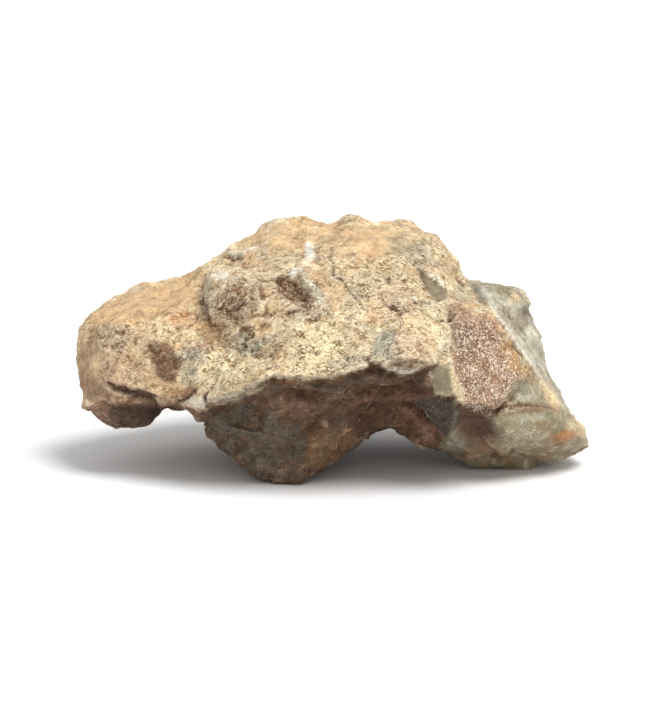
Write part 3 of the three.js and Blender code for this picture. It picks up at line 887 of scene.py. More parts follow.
PATCHES: list[Patch] = [
    Patch(Place.LOBE, Tint.TAN, 0.5, 30.0, 1.5),
    Patch(Place.LOBE_SIDE, Tint.PINK, 0.4, 20.0, 1.5),
    Patch(Place.LOBE_TOP, Tint.TAN, 0.5, 20.0, 1.5),
    # The lobe's left end and its lower left, where the crust bends under, are browned: partly the crust's
    # brown, partly painted shade.
    Patch(Place.LOBE_END, Tint.BROWN, 0.18, 16.0, 3.0),
    Patch(Place.LOBE_LOW, Tint.BROWN, 0.5, 12.0, 1.6),
    Patch(Place.LOBE_SPOT, Tint.BROWN, 0.55, 8.0, 2.0),
    Patch(Place.LOBE_SPOT_LOW, Tint.BROWN, 0.4, 8.0, 2.0),
    Patch(Place.LOBE_SPOT_HIGH, Tint.EARTH, 0.45, 8.0, 1.8),
    Patch(Place.LOBE_CREAM, Tint.CREAM, 0.5, 6.0, 1.8),
    Patch(Place.CHIN_PALE, Tint.PINK, 0.3, 12.0, 1.0),
    Patch(Place.CREST, Tint.TAN, 0.5, 18.0, 1.5),
    Patch(Place.CREST_RIGHT, Tint.TAN, 0.5, 18.0, 1.5),
    Patch(Place.ORANGE_BAND, Tint.ORANGE, 0.85, 12.0, 1.3),
    Patch(Place.CREAM_BAND, Tint.CREAM, 0.7, 12.0, 1.3),
    Patch(Place.CREAM_FLAT, Tint.CREAM, 0.55, 18.0, 1.5),
    Patch(Place.CREAM_MIDDLE, Tint.CREAM, 0.75, 26.0, 1.5),
    Patch(Place.CREAM_UPPER, Tint.CREAM, 0.6, 14.0, 1.4),
    Patch(Place.LOBE_GREY, Tint.ASH, 0.35, 14.0, 1.4),
    Patch(Place.LOBE_GREY, Tint.BROWN, 0.3, 14.0, 1.8),
    Patch(Place.GREEN_PATCH, Tint.MILK, 0.65, 10.0, 1.3),
    Patch(Place.GREY_PATCH, Tint.ASH, 0.7, 10.0, 1.3),
    Patch(Place.GREY_SPOT, Tint.BLUE_GREY, 0.8, 5.0),
    # The boss's front and its left side are brown, umber and moss: partly their own colour, partly painted
    # shade on faces turned from the light.
    Patch(Place.BOSS_FRONT, Tint.BROWN, 1.0, 6.0, 0.5),
    Patch(Place.BOSS_FRONT, Tint.UMBER, 0.3, 12.0, 0.6),
    Patch(Place.BOSS_RIGHT, Tint.BROWN, 0.7, 6.0, 0.8),
    Patch(Place.BOSS_SIDE, Tint.ASH, 0.6, 5.0, 0.5),
    Patch(Place.BOSS_SIDE, Tint.MOSS, 0.4, 8.0, 1.0),
    Patch(Place.BOSS_BELOW, Tint.ORANGE, 0.8, 12.0, 1.4),
    Patch(Place.BROWN_RUN, Tint.BROWN, 0.35, 7.0, 1.2),
    # The boss's top edge is chalk: partly its pale crust, partly a painted highlight where the light catches
    # it.
    Patch(Place.BOSS_TOP, Tint.CHALK, 0.9, 5.0, 0.6),
    Patch(Place.BLUE_HOLLOW, Tint.MILK, 0.6, 12.0, 1.5),
    Patch(Place.BLUE_HOLLOW, Tint.BLUE_GREY, 0.4, 12.0, 2.5),
    Patch(Place.PALE_ARC, Tint.MILK, 0.7, 4.0, 0.7),
    Patch(Place.SPECK_RING, Tint.ORANGE, 0.6, 8.0, 1.2),
    Patch(Place.DIAMOND_LOW, Tint.ORANGE, 0.55, 12.0, 1.2),
    Patch(Place.DIAMOND, Tint.BROWN, 1.0, 7.0, 0.35),
    Patch(Place.DIAMOND, Tint.UMBER, 0.15, 14.0, 0.5),
    # The recess under the white spur is brown: partly its own colour, partly painted shade where the spur
    # keeps the light off.
    Patch(Place.RECESS, Tint.BROWN, 1.0, 4.0, 0.4),
    Patch(Place.RECESS, Tint.UMBER, 0.15, 10.0, 0.5),
    Patch(Place.SPUR_WHITE, Tint.CHALK, 0.95, 4.0, 0.5),
    Patch(Place.SPUR_KNEE, Tint.CHALK, 0.95, 4.0, 0.5),
    Patch(Place.SPUR_TIP, Tint.MILK, 0.6, 6.0, 1.2),
    Patch(Place.SPUR_TIP, Tint.CHALK, 0.5, 6.0, 2.0),
    Patch(Place.STREAK, Tint.CHALK, 0.6, 4.0),
    Patch(Place.STREAK_SHADE, Tint.BROWN, 0.6, 4.0),
    Patch(Place.HOLLOW, Tint.BROWN, 0.6, 6.0),
    Patch(Place.HOLLOW_LOW, Tint.BROWN, 0.5, 5.0),
    Patch(Place.CHIN_TOP, Tint.PINK, 0.25, 4.0, 0.4),
    Patch(Place.CHIN_TOP, Tint.BROWN, 0.35, 4.0, 1.0),
    Patch(Place.SLIT, Tint.UMBER, 1.0, 3.0, 0.25),
    Patch(Place.SLIT_LIP, Tint.PINK, 0.8, 2.5, 0.4),
    Patch(Place.FLAKE, Tint.PINK, 0.7, 1.5, 0.0),
    Patch(Place.FLAKE, Tint.CHALK, 0.9, 4.0, 0.1),
    Patch(Place.FLAKE_TOP, Tint.RUST, 0.9, 2.0, 0.2),
    Patch(Place.FLAKE_CRACK, Tint.UMBER, 1.0, 1.2, 0.0),
    Patch(Place.FLAKE_SIDE, Tint.UMBER, 1.0, 1.2, 0.0),
    Patch(Place.FLAKE_UNDER, Tint.RUST, 0.85, 3.0, 0.3),
    Patch(Place.FLAKE_UNDER, Tint.UMBER, 0.5, 4.0, 0.6),
    Patch(Place.GREEN_AREA, Tint.CREAM, 0.7, 12.0, 1.4),
    Patch(Place.GREEN_AREA, Tint.ASH, 0.2, 12.0, 1.4),
    Patch(Place.LUMP, Tint.PINK, 0.45, 10.0, 1.2),
    Patch(Place.LUMP_UNDER, Tint.BROWN, 0.8, 3.0, 0.6),
    Patch(Place.GREY_CREST, Tint.ASH, 0.45, 14.0, 2.0),
    Patch(Place.GREY_CREST, Tint.MOSS, 0.3, 10.0, 4.0),
    Patch(Place.STRIP, Tint.MOSS, 0.9, 3.0, 0.3),
    Patch(Place.STRIP, Tint.SLATE, 0.4, 6.0, 0.8),
    Patch(Place.STRIP_EDGE, Tint.CHALK, 0.85, 1.6, 0.3),
    Patch(Place.STRIP_LINE, Tint.CHALK, 0.7, 1.5, 0.3),
    Patch(Place.BLUE_PATCH, Tint.BLUE_GREY, 0.9, 8.0, 1.1),
    Patch(Place.TONGUE, Tint.PINK, 0.6, 12.0, 1.3),
    Patch(Place.GREY_RIM, Tint.ASH, 0.7, 8.0, 1.2),
    Patch(Place.RIM_TONGUE, Tint.MILK, 0.8, 4.0, 0.4),
    Patch(Place.RIM_TONGUE, Tint.CHALK, 0.4, 3.0, 0.8),
    Patch(Place.RIM_LEFT, Tint.ASH, 0.8, 4.0, 0.5),
    Patch(Place.PIT, Tint.UMBER, 0.8, 5.0, 0.8),
    Patch(Place.PIT_SIDE, Tint.RUST, 0.6, 7.0),
    Patch(Place.MOSS_CORNER, Tint.ASH, 0.7, 8.0, 1.3),
    Patch(Place.CREAM_STRIP, Tint.CREAM, 1.0, 8.0),
    Patch(Place.CREAM_STRIP, Tint.CHALK, 0.3, 8.0),
    Patch(Place.CREAM_EDGE, Tint.CREAM, 0.95, 4.0, 0.7),
    Patch(Place.PLATE_TOP, Tint.PINK, 0.6, 8.0, 1.2),
    Patch(Place.PLATE_GREY, Tint.EARTH, 0.4, 10.0, 1.0),
    Patch(Place.PLATE_RED, Tint.PINK, 0.4, 8.0),
    Patch(Place.PLATE_RED, Tint.RED, 0.3, 8.0),
    Patch(Place.PLATE_OCHRE, Tint.OCHRE, 0.85, 8.0),
    Patch(Place.PLATE_FOOT, Tint.UMBER, 0.7, 4.0, 0.7),
    Patch(Place.PANE, Tint.MOSS, 1.0, 2.5, 0.2),
    Patch(Place.PANE, Tint.ASH, 0.2, 8.0, 1.0),
    Patch(Place.FIN_WEDGE, Tint.SLATE, 0.7, 5.0, 0.6),
    Patch(Place.FIN_STREAK, Tint.CHALK, 0.8, 2.5, 0.5),
    Patch(Place.FIN_STREAK_LOW, Tint.CHALK, 0.85, 2.5, 0.5),
    Patch(Place.FIN_STREAK_THIN, Tint.CHALK, 0.7, 2.0, 0.5),
    Patch(Place.FIN_STREAK_FAR, Tint.CHALK, 0.6, 2.0, 0.5),
    Patch(Place.FIN_KNOB, Tint.SAND, 0.75, 4.0),
    Patch(Place.FIN_SPOT, Tint.SLATE, 0.7, 5.0),
    Patch(Place.FIN_GREEN, Tint.MOSS, 0.6, 7.0),
    Patch(Place.FIN_PALE, Tint.CHALK, 0.7, 5.0),
    Patch(Place.FIN_TOP, Tint.OLIVE, 0.6, 6.0),
    Patch(Place.SADDLE_MINT, Tint.MILK, 0.8, 8.0),
    Patch(Place.SADDLE_TAN, Tint.SAND, 0.7, 6.0),
    Patch(Place.SADDLE_STREAK, Tint.CREAM, 0.7, 2.5, 0.6),
    Patch(Place.NOSE_OCHRE, Tint.OCHRE, 0.35, 6.0),
    Patch(Place.NOSE_GROOVE, Tint.BROWN, 0.3, 4.0),
    Patch(Place.SADDLE_OLIVE, Tint.MOSS, 0.9, 4.0, 0.5),
    Patch(Place.SADDLE_OLIVE, Tint.RUSSET, 0.25, 4.0, 0.5),
    Patch(Place.NOSE_PALE, Tint.ASH, 0.45, 16.0, 1.2),
    # Painted shadow of the plate's overhang on the nose's left part.
    Patch(Place.NOSE_LEFT, Tint.BROWN, 0.35, 18.0, 1.2),
    Patch(Place.NOSE_FOLD, Tint.EARTH, 0.7, 8.0, 1.0),
    # Painted shadow of the plate's overhang, where it is darkest.
    Patch(Place.NOSE_SHADOW, Tint.UMBER, 0.95, 9.0, 0.8),
    # A pale band along the nose's top edge: partly its pale colour, partly a painted highlight.
    Patch(Place.NOSE_TOP, Tint.MILK, 0.6, 4.0, 0.8),
    Patch(Place.NOSE_CRACK, Tint.BROWN, 0.7, 4.0, 0.6),
    Patch(Place.NOSE_HAIR, Tint.CHALK, 0.25, 1.6, 0.3),
    Patch(Place.NOSE_TIP, Tint.CREAM, 0.45, 8.0, 1.0),
    Patch(Place.NOSE_BLUE, Tint.BLUE_GREY, 0.7, 8.0),
    Patch(Place.NOSE_SPOT, Tint.ORANGE, 0.95, 3.0, 0.4),
    Patch(Place.NOSE_SPOT, Tint.RUSSET, 0.45, 5.0, 1.4),
    Patch(Place.NOSE_SPOT_END, Tint.BROWN, 0.8, 4.0, 0.5),
    # More painted shadow of the plate's overhang.
    Patch(Place.NOSE_SHADOW, Tint.UMBER, 0.7, 10.0, 1.2),
    Patch(Place.NOSE_PINK, Tint.PINK, 0.6, 4.0),
    Patch(Place.BRICK, Tint.COAL, 0.9, 4.0, 0.6),
    # The arch under the tongue is darkened with umber: partly its own colour, partly painted shade in the
    # recess.
    Patch(Place.ARCH, Tint.UMBER, 0.55, 14.0, 1.2),
    Patch(Place.ARCH_SLIT, Tint.UMBER, 0.8, 4.0, 0.6),
    Patch(Place.ARCH_RIDGE, Tint.BROWN, 0.5, 4.0, 0.8),
    Patch(Place.RIB, Tint.RUST, 0.85, 6.0),
    Patch(Place.RIB_END, Tint.PINK, 0.5, 8.0),
    # The chin's right part is painted near black: partly its dark rock, partly painted shade under the lobe.
    Patch(Place.CHIN_DARK, Tint.COAL, 0.9, 8.0, 0.6),
    Patch(Place.CHIN_DARK, Tint.UMBER, 0.5, 12.0, 0.6),
    Patch(Place.FOOT_RED, Tint.RUST, 0.3, 12.0, 1.5),
    Patch(Place.FOOT_LEFT, Tint.SLATE, 0.6, 4.0, 0.6),
    Patch(Place.FOOT_LEFT, Tint.COAL, 0.25, 12.0, 3.0),
    Patch(Place.FOOT_RIGHT, Tint.OCHRE, 0.14, 3.0, 0.4),
    Patch(Place.FOOT_LOW, Tint.SLATE, 0.4, 10.0, 1.3),
    Patch(Place.CRACK, Tint.UMBER, 0.75, 1.8, 0.5),
]

ROUGH_PLACES = (Place.CREAM_FLAT, Place.CREAM_MIDDLE, Place.GREY_RIM, Place.TONGUE, Place.LOBE_GREY,
                Place.ORANGE_BAND, Place.CREAM_BAND, Place.CREAM_UPPER, Place.LUMP, Place.GREEN_AREA,
                Place.UPPER_RIGHT, Place.BOSS_FRONT, Place.RECESS, Place.BLUE_HOLLOW, Place.BROWN_RUN)

SMOOTH_PLACES = (Place.FLAKE, Place.SLIT_LIP, Place.FLAKE_TOP, Place.CHIN_TOP, Place.STRIP)


@dataclass
class Zones:
    """Which kind of surface each point has: gritty crust, dull broken stone, glassy end or granular plate."""

    skin: Skin
    glassy_from: float = 17.0
    wander_size: float = 7.0
    wander_seed: int = 31
    wander_glass: float = 8.0
    wander_under: float = 0.35
    under_slope: Range = (-0.05, -0.45)
    glass_border: Range = (-1.5, 1.5)
    calm_wander: Range = (-0.2, 0.4)
    border: Range = (2.0, -3.0)
    calm_border: Range = (8.0, -8.0)
    crust: Array = field(init=False)
    soft: Array = field(init=False)
    broken: Array = field(init=False)
    glass: Array = field(init=False)
    plate: Array = field(init=False)

    def __post_init__(self) -> None:
        """Finds the zones by place on the side that the photograph shows, and by slope on the others."""
        skin = self.skin
        seen = skin.seen()
        wander = Pattern(skin.points, self.wander_size, self.wander_seed).clouds()
        # Faces that look down join the broken zone, so its dark paint there is partly painted shade on the
        # stone's underside.
        under = ease(*self.under_slope, skin.out[:, 2] + self.wander_under * wander)
        past = skin.points[:, 0] - self.glassy_from - self.wander_glass * wander
        far_glass = ease(*self.glass_border, past)
        glassy = (Place.NOSE, Place.FIN, Place.SADDLE_PLANE, Place.PANE)
        dull = (Place.FOOT, Place.CHIN)
        front = {place: skin.inside(place, *self.border) for place in (*glassy, *dull, Place.PLATE)}
        self.plate = front[Place.PLATE]
        glass = np.maximum.reduce([front[place] for place in glassy])
        broken = np.maximum.reduce([front[place] for place in dull])
        self.glass = np.maximum(glass, (1.0 - seen) * far_glass)
        self.broken = np.maximum(broken, (1.0 - 0.5 * seen) * under) * (1.0 - self.glass)
        self.crust = np.clip(1.0 - self.glass - self.broken, 0.0, 1.0)
        stretches = (Place.LOBE_TOP, Place.LOBE_END, Place.CREST, Place.CREST_RIGHT)
        calm = np.maximum.reduce([skin.inside(place, *self.calm_border) for place in stretches])
        self.soft = np.maximum(calm, (1.0 - seen) * ease(*self.calm_wander, wander))


class Layer(Enum):
    """Layers of roughness: their height and the size of their cells, in millimetres, and their seed."""

    LUMPS = (0.20, 5.0, 1)
    BLOCKS = (0.45, 3.8, 2)
    FACETS = (1.1, 4.2, 3)
    SWELLS = (0.16, 2.4, 4)
    PANES = (0.8, 5.0, 5)
    GRIT = (0.12, 1.2, 6)
    CHIPS = (0.20, 1.4, 7)
    PITS = (0.10, 1.9, 8)
    SCARS = (0.10, 1.5, 9)
    SPLITS = (0.24, 1.8, 10)
    RIPPLES = (0.03, 0.9, 11)
    SPLINTERS = (0.16, 1.6, 12)
    CREASES = (1.0, 1.7, 13)
    CREASED_STRETCHES = (1.0, 3.2, 14)
    LEDGE_BENDS = (1.0, 4.5, 15)
    LEDGED_STRETCHES = (1.0, 5.5, 16)

    def clouds(self, points: Array, octaves: int = 3, rough: float = 0.55) -> Array:
        """The layer as clouds, in millimetres at each place."""
        height, size, seed = self.value
        return height * Pattern(points, size, seed).clouds(octaves, rough)

    def chips(self, points: Array, blend: float = 0.2) -> Array:
        """The layer as broken facets, in millimetres at each place."""
        height, size, seed = self.value
        return height * Pattern(points, size, seed).chips(blend)

    def pits(self, points: Array, share: float) -> Array:
        """The layer as scattered hollows, in millimetres at each place."""
        height, size, seed = self.value
        return height * Pattern(points, size, seed).pits(share)


@dataclass(frozen=True)
class Weathering:
    """The roughness of each kind of surface."""

    dip: Triple = (0.40, 0.15, 0.90)
    step: float = 2.3
    bend: float = 1.1
    ledge: float = 0.11
    lie: Triple = (0.7, 1.0, 1.2)
    crease: float = 0.20
    crease_width: Range = (0.22, 0.0)
    creased: Range = (-0.15, 0.3)
    ledged: Range = (0.05, 0.4)
    pit_share: float = 0.3
    lump_seam: float = 0.3
    facet_seam: float = 0.12
    pane_seam: float = 0.1
    seen_lumps: float = 0.65
    seen_grit: float = 0.7
    soft_grit: float = 0.5
    plate_grit: float = 0.4
    soft_ledges: float = 0.4

    def coarse(self, skin: Skin, zones: Zones) -> None:
        """Adds lumps and broken facets, before the marks are cut."""
        points = skin.points
        lumps = Layer.LUMPS.clouds(points) + Layer.BLOCKS.chips(points, self.lump_seam)
        facets = Layer.FACETS.chips(points, self.facet_seam) + Layer.SWELLS.clouds(points)
        panes = Layer.PANES.chips(points, self.pane_seam)
        lumps *= 1.0 - (1.0 - self.seen_lumps) * skin.seen()
        skin.lift(zones.crust * lumps + zones.broken * facets + zones.glass * panes)

    def fine(self, skin: Skin, zones: Zones) -> None:
        """Adds grit, pits, chips and low ledges, after the marks are cut."""
        points = skin.points
        drawn = points * self.lie
        creases = ease(*self.crease_width, np.abs(Layer.CREASES.clouds(drawn, rough=0.6)))
        creases *= ease(*self.creased, Layer.CREASED_STRETCHES.clouds(points))
        grit = Layer.GRIT.clouds(drawn, 4, 0.65) + Layer.CHIPS.chips(drawn)
        grit -= Layer.PITS.pits(points, self.pit_share) + self.crease * creases
        grit *= 1.0 - (1.0 - self.soft_grit) * zones.soft
        grit *= 1.0 - (1.0 - self.plate_grit) * zones.plate
        grit *= 1.0 - (1.0 - self.seen_grit) * skin.seen()
        ledges = self.ledge * (1.0 - zones.plate) * self.ledges(points)
        grit += ledges * (1.0 - (1.0 - self.soft_ledges) * zones.soft)
        scars = Layer.SCARS.clouds(points, 4, 0.6) + Layer.SPLITS.chips(points)
        scars -= 0.5 * self.crease * creases
        panes = Layer.RIPPLES.clouds(points) + Layer.SPLINTERS.chips(points, self.pane_seam)
        skin.lift(zones.crust * grit + zones.broken * scars + zones.glass * panes)

    def ledges(self, points: Array) -> Array:
        """Low ledges that dip one way, on some stretches of the stone.

        Args:
            points: Places, in millimetres.

        Returns:
            One height for each place, from 0 to 1.
        """
        climb = points @ self.dip / self.step + self.bend * Layer.LEDGE_BENDS.clouds(points)
        return (climb - np.floor(climb)) * ease(*self.ledged, Layer.LEDGED_STRETCHES.clouds(points))


class Cloud(Enum):
    """Clouds that spread colours over the stone: their size in millimetres and their seed."""

    DUSTY = (3.5, 41)
    WARM = (5.0, 42)
    ASHEN = (6.5, 43)
    RUSTY = (3.0, 44)
    EARTHY = (4.0, 45)
    FINE = (1.3, 46)
    FINEST = (1.1, 47)
    SMALL = (2.0, 48)

    def over(self, points: Array) -> Array:
        """The cloud's value at each place, from about -1 to 1."""
        return Pattern(points, *self.value).clouds(5, 0.62)


@dataclass(frozen=True)
class Mottle:
    """A colour that comes and goes with a cloud: it starts at a low value and is full at a high one."""

    tint: Tint
    share: float
    cloud: Cloud
    low: float
    high: float


CRUST_MOTTLES: list[Mottle] = [
    Mottle(Tint.CREAM, 0.7, Cloud.DUSTY, 0.0, 0.5),
    Mottle(Tint.TAN, 0.7, Cloud.WARM, 0.05, 0.5),
    Mottle(Tint.ASH, 0.6, Cloud.ASHEN, 0.15, 0.55),
    Mottle(Tint.ORANGE, 0.4, Cloud.RUSTY, 0.25, 0.6),
    Mottle(Tint.BROWN, 0.30, Cloud.FINE, 0.25, 0.7),
    Mottle(Tint.CHALK, 0.35, Cloud.FINEST, 0.25, 0.7),
]

BROKEN_MOTTLES: list[Mottle] = [
    Mottle(Tint.BROWN, 0.45, Cloud.EARTHY, 0.0, 0.5),
    Mottle(Tint.PINK, 0.45, Cloud.FINEST, 0.1, 0.6),
    Mottle(Tint.COAL, 0.55, Cloud.SMALL, 0.1, 0.5),
    Mottle(Tint.COAL, 0.6, Cloud.WARM, 0.1, 0.5),
    Mottle(Tint.UMBER, 0.6, Cloud.DUSTY, 0.1, 0.5),
]

GLASS_MOTTLES: list[Mottle] = [
    Mottle(Tint.MOSS, 0.6, Cloud.RUSTY, 0.0, 0.5),
    Mottle(Tint.BROWN, 0.5, Cloud.DUSTY, 0.1, 0.6),
    Mottle(Tint.SLATE, 0.5, Cloud.SMALL, 0.1, 0.6),
    Mottle(Tint.CHALK, 0.3, Cloud.FINEST, 0.1, 0.6),
]


@dataclass(frozen=True)
class DepthTint:
    """A colour laid by depth: in hollows, painted shade that is partly the brown of crevices; with depths
    below 0, dust on raised edges.

    Depths are in millimetres below the surface that some passes of softening leave.
    """

    tint: Tint
    share: float
    passes: int
    start: float
    full: float


# Painted shade in hollows at three sizes, partly the brown of the crust's crevices.
HOLLOW_BROWN_AND_SHADE: list[DepthTint] = [
    DepthTint(Tint.UMBER, 0.55, 4, 0.015, 0.09),
    DepthTint(Tint.BROWN, 0.55, 24, 0.05, 0.22),
    DepthTint(Tint.UMBER, 0.50, 110, 0.15, 0.6),
]

DUST: list[DepthTint] = [
    DepthTint(Tint.CHALK, 0.45, 4, -0.01, -0.07),
    DepthTint(Tint.CREAM, 0.35, 24, -0.04, -0.22),
]

TONES: dict[Cloud, float] = {Cloud.FINE: 0.12, Cloud.SMALL: 0.12, Cloud.DUSTY: 0.14}


@dataclass
class Paint:
    """The stone's colours and the kind of surface at each point."""

    skin: Skin
    zones: Zones
    soft_tone: float = 0.16
    darkest: float = 0.01
    palest: float = 0.95
    glass_spark: float = 0.15
    brick_spark: float = 0.3
    nose_spark: float = 0.75
    broken_grit: float = 0.57
    nose_grit: float = 0.22
    tint: Array = field(init=False)
    clouds: dict[Cloud, Array] = field(init=False)
    hollows: dict[int, Array] = field(init=False)

    def __post_init__(self) -> None:
        """Paints the crust, the broken faces, every patch, and then painted shade in hollows and dust on
        raised edges.
        """
        points = self.skin.points
        self.clouds = {cloud: cloud.over(points) for cloud in Cloud}
        self.hollows = {depth_tint.passes: self.skin.hollow(depth_tint.passes) for depth_tint in HOLLOW_BROWN_AND_SHADE}
        self.tint = np.tile(Tint.SAND.linear, (len(points), 1))
        self.mottle(CRUST_MOTTLES, np.ones(len(points)))
        # The broken zone, with the faces that look down, is painted dark earth: partly the broken rock's
        # colour, partly painted shade.
        self.mix(Tint.EARTH, self.zones.broken)
        self.mix(Tint.MILK, self.zones.glass)
        self.lay(GROUND)
        self.mottle(BROKEN_MOTTLES, self.zones.broken)
        self.mottle(GLASS_MOTTLES, self.zones.glass)
        self.shade_hollows_and_dust_edges(1.0)
        self.lay(PATCHES)
        self.shade_hollows_and_dust_edges(0.5)
        tone = sum(share * self.clouds[cloud] for cloud, share in TONES.items())
        tone = tone + self.soft_tone * self.zones.soft * (self.clouds[Cloud.FINE] + self.clouds[Cloud.RUSTY])
        self.tint = np.clip(self.tint * (1.0 + tone)[:, None], self.darkest, self.palest)

    def mottle(self, mottles: list[Mottle], zone: Array) -> None:
        """Spreads clouds of colour over a zone.

        Args:
            mottles: The colours, from the lowest to the highest.
            zone: How far each point is in the zone, from 0 to 1.
        """
        for mottle in mottles:
            share = mottle.share * zone * ease(mottle.low, mottle.high, self.clouds[mottle.cloud])
            self.mix(mottle.tint, share)

    def lay(self, patches: list[Patch]) -> None:
        """Lays patches over the paint, with ragged edges.

        Args:
            patches: The patches, from the lowest to the highest.
        """
        seen = self.skin.seen()
        for patch in patches:
            gap = patch.place.value.gap(*self.skin.pixels(RAGGED_PATCHES * patch.ragged))
            self.mix(patch.tint, patch.share * ease(0.4 * patch.fade, -0.6 * patch.fade, gap) * seen)

    def shade_hollows_and_dust_edges(self, strength: float) -> None:
        """Paints shade into hollows, partly the brown of crevices, and rubs raised edges pale with dust.

        Args:
            strength: How much, from 0 to 1.
        """
        # Where hollows take painted shade: everywhere, and half as much on the glassy end.
        rough = strength * (1.0 - 0.5 * self.zones.glass)
        dust = strength**2 * self.zones.crust * (1.0 - self.zones.plate)
        for depth_tints, zone in ((HOLLOW_BROWN_AND_SHADE, rough), (DUST, dust)):
            for depth_tint in depth_tints:
                depth = ease(depth_tint.start, depth_tint.full, self.hollows[depth_tint.passes])
                self.mix(depth_tint.tint, depth_tint.share * zone * depth)

    def mix(self, tint: Tint, share: Array) -> None:
        """Lays a colour over the paint, with a share for each point."""
        self.tint = self.tint + share[:, None] * (tint.linear - self.tint)

    def inside(self, places: Sequence[Place], start: float, full: float) -> Array:
        """Each point's share in any of some places, with the skin's start and full."""
        return np.maximum.reduce([self.skin.inside(place, start, full) for place in places])

    def spark(self) -> Array:
        """How much each point glints, from 0 to 1."""
        glass = self.glass_spark * self.zones.glass
        brick = self.brick_spark * self.inside([Place.BRICK], 4.0, -5.0)
        nose = self.nose_spark * self.inside([Place.NOSE_PALE], 8.0, -12.0)
        return np.maximum.reduce([self.inside([Place.PLATE], 4.0, -5.0), glass, brick, nose])

    def grit(self) -> Array:
        """How gritty each point is, from 0 to 1."""
        rough = self.inside(ROUGH_PLACES, 10.0, -10.0)
        smooth = self.inside(SMOOTH_PLACES, 1.0, -2.0)
        crust = (0.7 + 0.3 * rough - 0.45 * self.zones.soft * (1.0 - rough)) * (1.0 - 0.75 * smooth)
        grit = np.clip(crust * self.zones.crust + self.broken_grit * self.zones.broken, 0.0, 1.0)
        grit = grit * (1.0 - 0.6 * self.zones.plate)
        return np.maximum(grit, self.nose_grit * self.inside([Place.NOSE], 2.0, -6.0))

    def streak(self) -> Array:
        """How streaky each point is, from 0 to 1: the glassy end, and its nose and its pane less."""
        plain = self.inside([Place.PANE, Place.NOSE], 2.0, -6.0)
        return self.zones.glass * (1.0 - 0.7 * plain)

    def store(self, mesh: bpy.types.Mesh) -> None:
        """Keeps the paint with the mesh.

        Args:
            mesh: The mesh of the skin.
        """
        colour = mesh.color_attributes.new("tint", "FLOAT_COLOR", "POINT")
        tint = np.c_[self.tint, np.ones(len(self.tint))]
        colour.data.foreach_set("color", tint.astype(np.float32).ravel())
        finish = {"grit": self.grit(), "spark": self.spark(), "gloss": self.zones.glass,
                  "streak": self.streak()}
        for name, values in finish.items():
            kept = mesh.attributes.new(name, "FLOAT", "POINT")
            kept.data.foreach_set("value", values.astype(np.float32))


Value = Union["Wire", float, Sequence[float]]


class Wire:
    """One output of a shader node. Arithmetic on it adds the nodes that do the sum."""

    def __init__(self, graph: "Graph", socket: bpy.types.NodeSocket) -> None:
        """Wraps a socket of a graph."""
        self.graph = graph
        self.socket = socket

    @staticmethod
    def _wide(end: Value) -> bool:
        """Whether an input is a vector or a colour."""
        return end.socket.type != "VALUE" if isinstance(end, Wire) else isinstance(end, tuple)

    def _sum(self, operation: str, first: Value, second: Value) -> "Wire":
        """Adds the node for one operation.

        Args:
            operation: The node's operation.
            first: Its first input.
            second: Its second input.

        Returns:
            The result.
        """
        ends = [first, second]
        if not any(self._wide(end) for end in ends):
            return self.graph.node("ShaderNodeMath", {"operation": operation}, {0: first, 1: second})
        ends = [(end,) * 3 if isinstance(end, float) else end for end in ends]
        return self.graph.node("ShaderNodeVectorMath", {"operation": operation}, {0: ends[0], 1: ends[1]})

    def __add__(self, other: Value) -> "Wire":
        """The sum."""
        return self._sum("ADD", self, other)

    def __radd__(self, other: Value) -> "Wire":
        """The sum."""
        return self._sum("ADD", other, self)

    def __sub__(self, other: Value) -> "Wire":
        """The difference."""
        return self._sum("SUBTRACT", self, other)

    def __rsub__(self, other: Value) -> "Wire":
        """The difference the other way round."""
        return self._sum("SUBTRACT", other, self)

    def __mul__(self, other: Value) -> "Wire":
        """The product."""
        return self._sum("MULTIPLY", self, other)

    def __rmul__(self, other: Value) -> "Wire":
        """The product."""
        return self._sum("MULTIPLY", other, self)

    def __abs__(self) -> "Wire":
        """The size without the sign."""
        return self.graph.node("ShaderNodeMath", {"operation": "ABSOLUTE"}, {0: self})

    def ease(self, low: float, high: float) -> "Wire":
        """Eases from 0 at low to 1 at high."""
        inputs = {"Value": self, "From Min": low, "From Max": high}
        return self.graph.node("ShaderNodeMapRange", {"interpolation_type": "SMOOTHSTEP"}, inputs)


class Graph:
    """The nodes of one material."""

    def __init__(self, name: str) -> None:
        """Starts an empty material."""
        self.material = bpy.data.materials.new(name)
        self.material.use_nodes = True
        self.tree = self.material.node_tree
        self.tree.nodes.clear()

    def node(self, kind: str, settings: dict[str, Any], inputs: dict[Any, Value], output: Any = 0) -> Any:
        """Adds any node.

        Args:
            kind: The node's type.
            settings: Its properties.
            inputs: Values or wires for its sockets, by name or number.
            output: The socket that is returned, by name or number.

        Returns:
            That output as a wire, or nothing for a node without outputs.
        """
        made = self.tree.nodes.new(kind)
        for name, setting in settings.items():
            setattr(made, name, setting)
        for name, value in inputs.items():
            if isinstance(value, Wire):
                self.tree.links.new(value.socket, made.inputs[name])
            else:
                made.inputs[name].default_value = value
        return Wire(self, made.outputs[output]) if made.outputs else None

    def attribute(self, name: str, output: str) -> Wire:
        """Reads values kept with the mesh."""
        return self.node("ShaderNodeAttribute", {"attribute_name": name}, {}, output)

    def blend(self, share: Value, first: Value, second: Value) -> Wire:
        """Mixes two colours."""
        settings = {"data_type": "RGBA", "blend_type": "MIX"}
        return self.node("ShaderNodeMix", settings, {0: share, 6: first, 7: second}, 2)

    def surface(self, inputs: dict[str, Value]) -> bpy.types.Material:
        """Ends the material in a plain shader.

        Args:
            inputs: Values or wires for the shader's sockets.

        Returns:
            The finished material.
        """
        shader = self.node("ShaderNodeBsdfPrincipled", {}, inputs)
        self.node("ShaderNodeOutputMaterial", {}, {"Surface": shader})
        return self.material


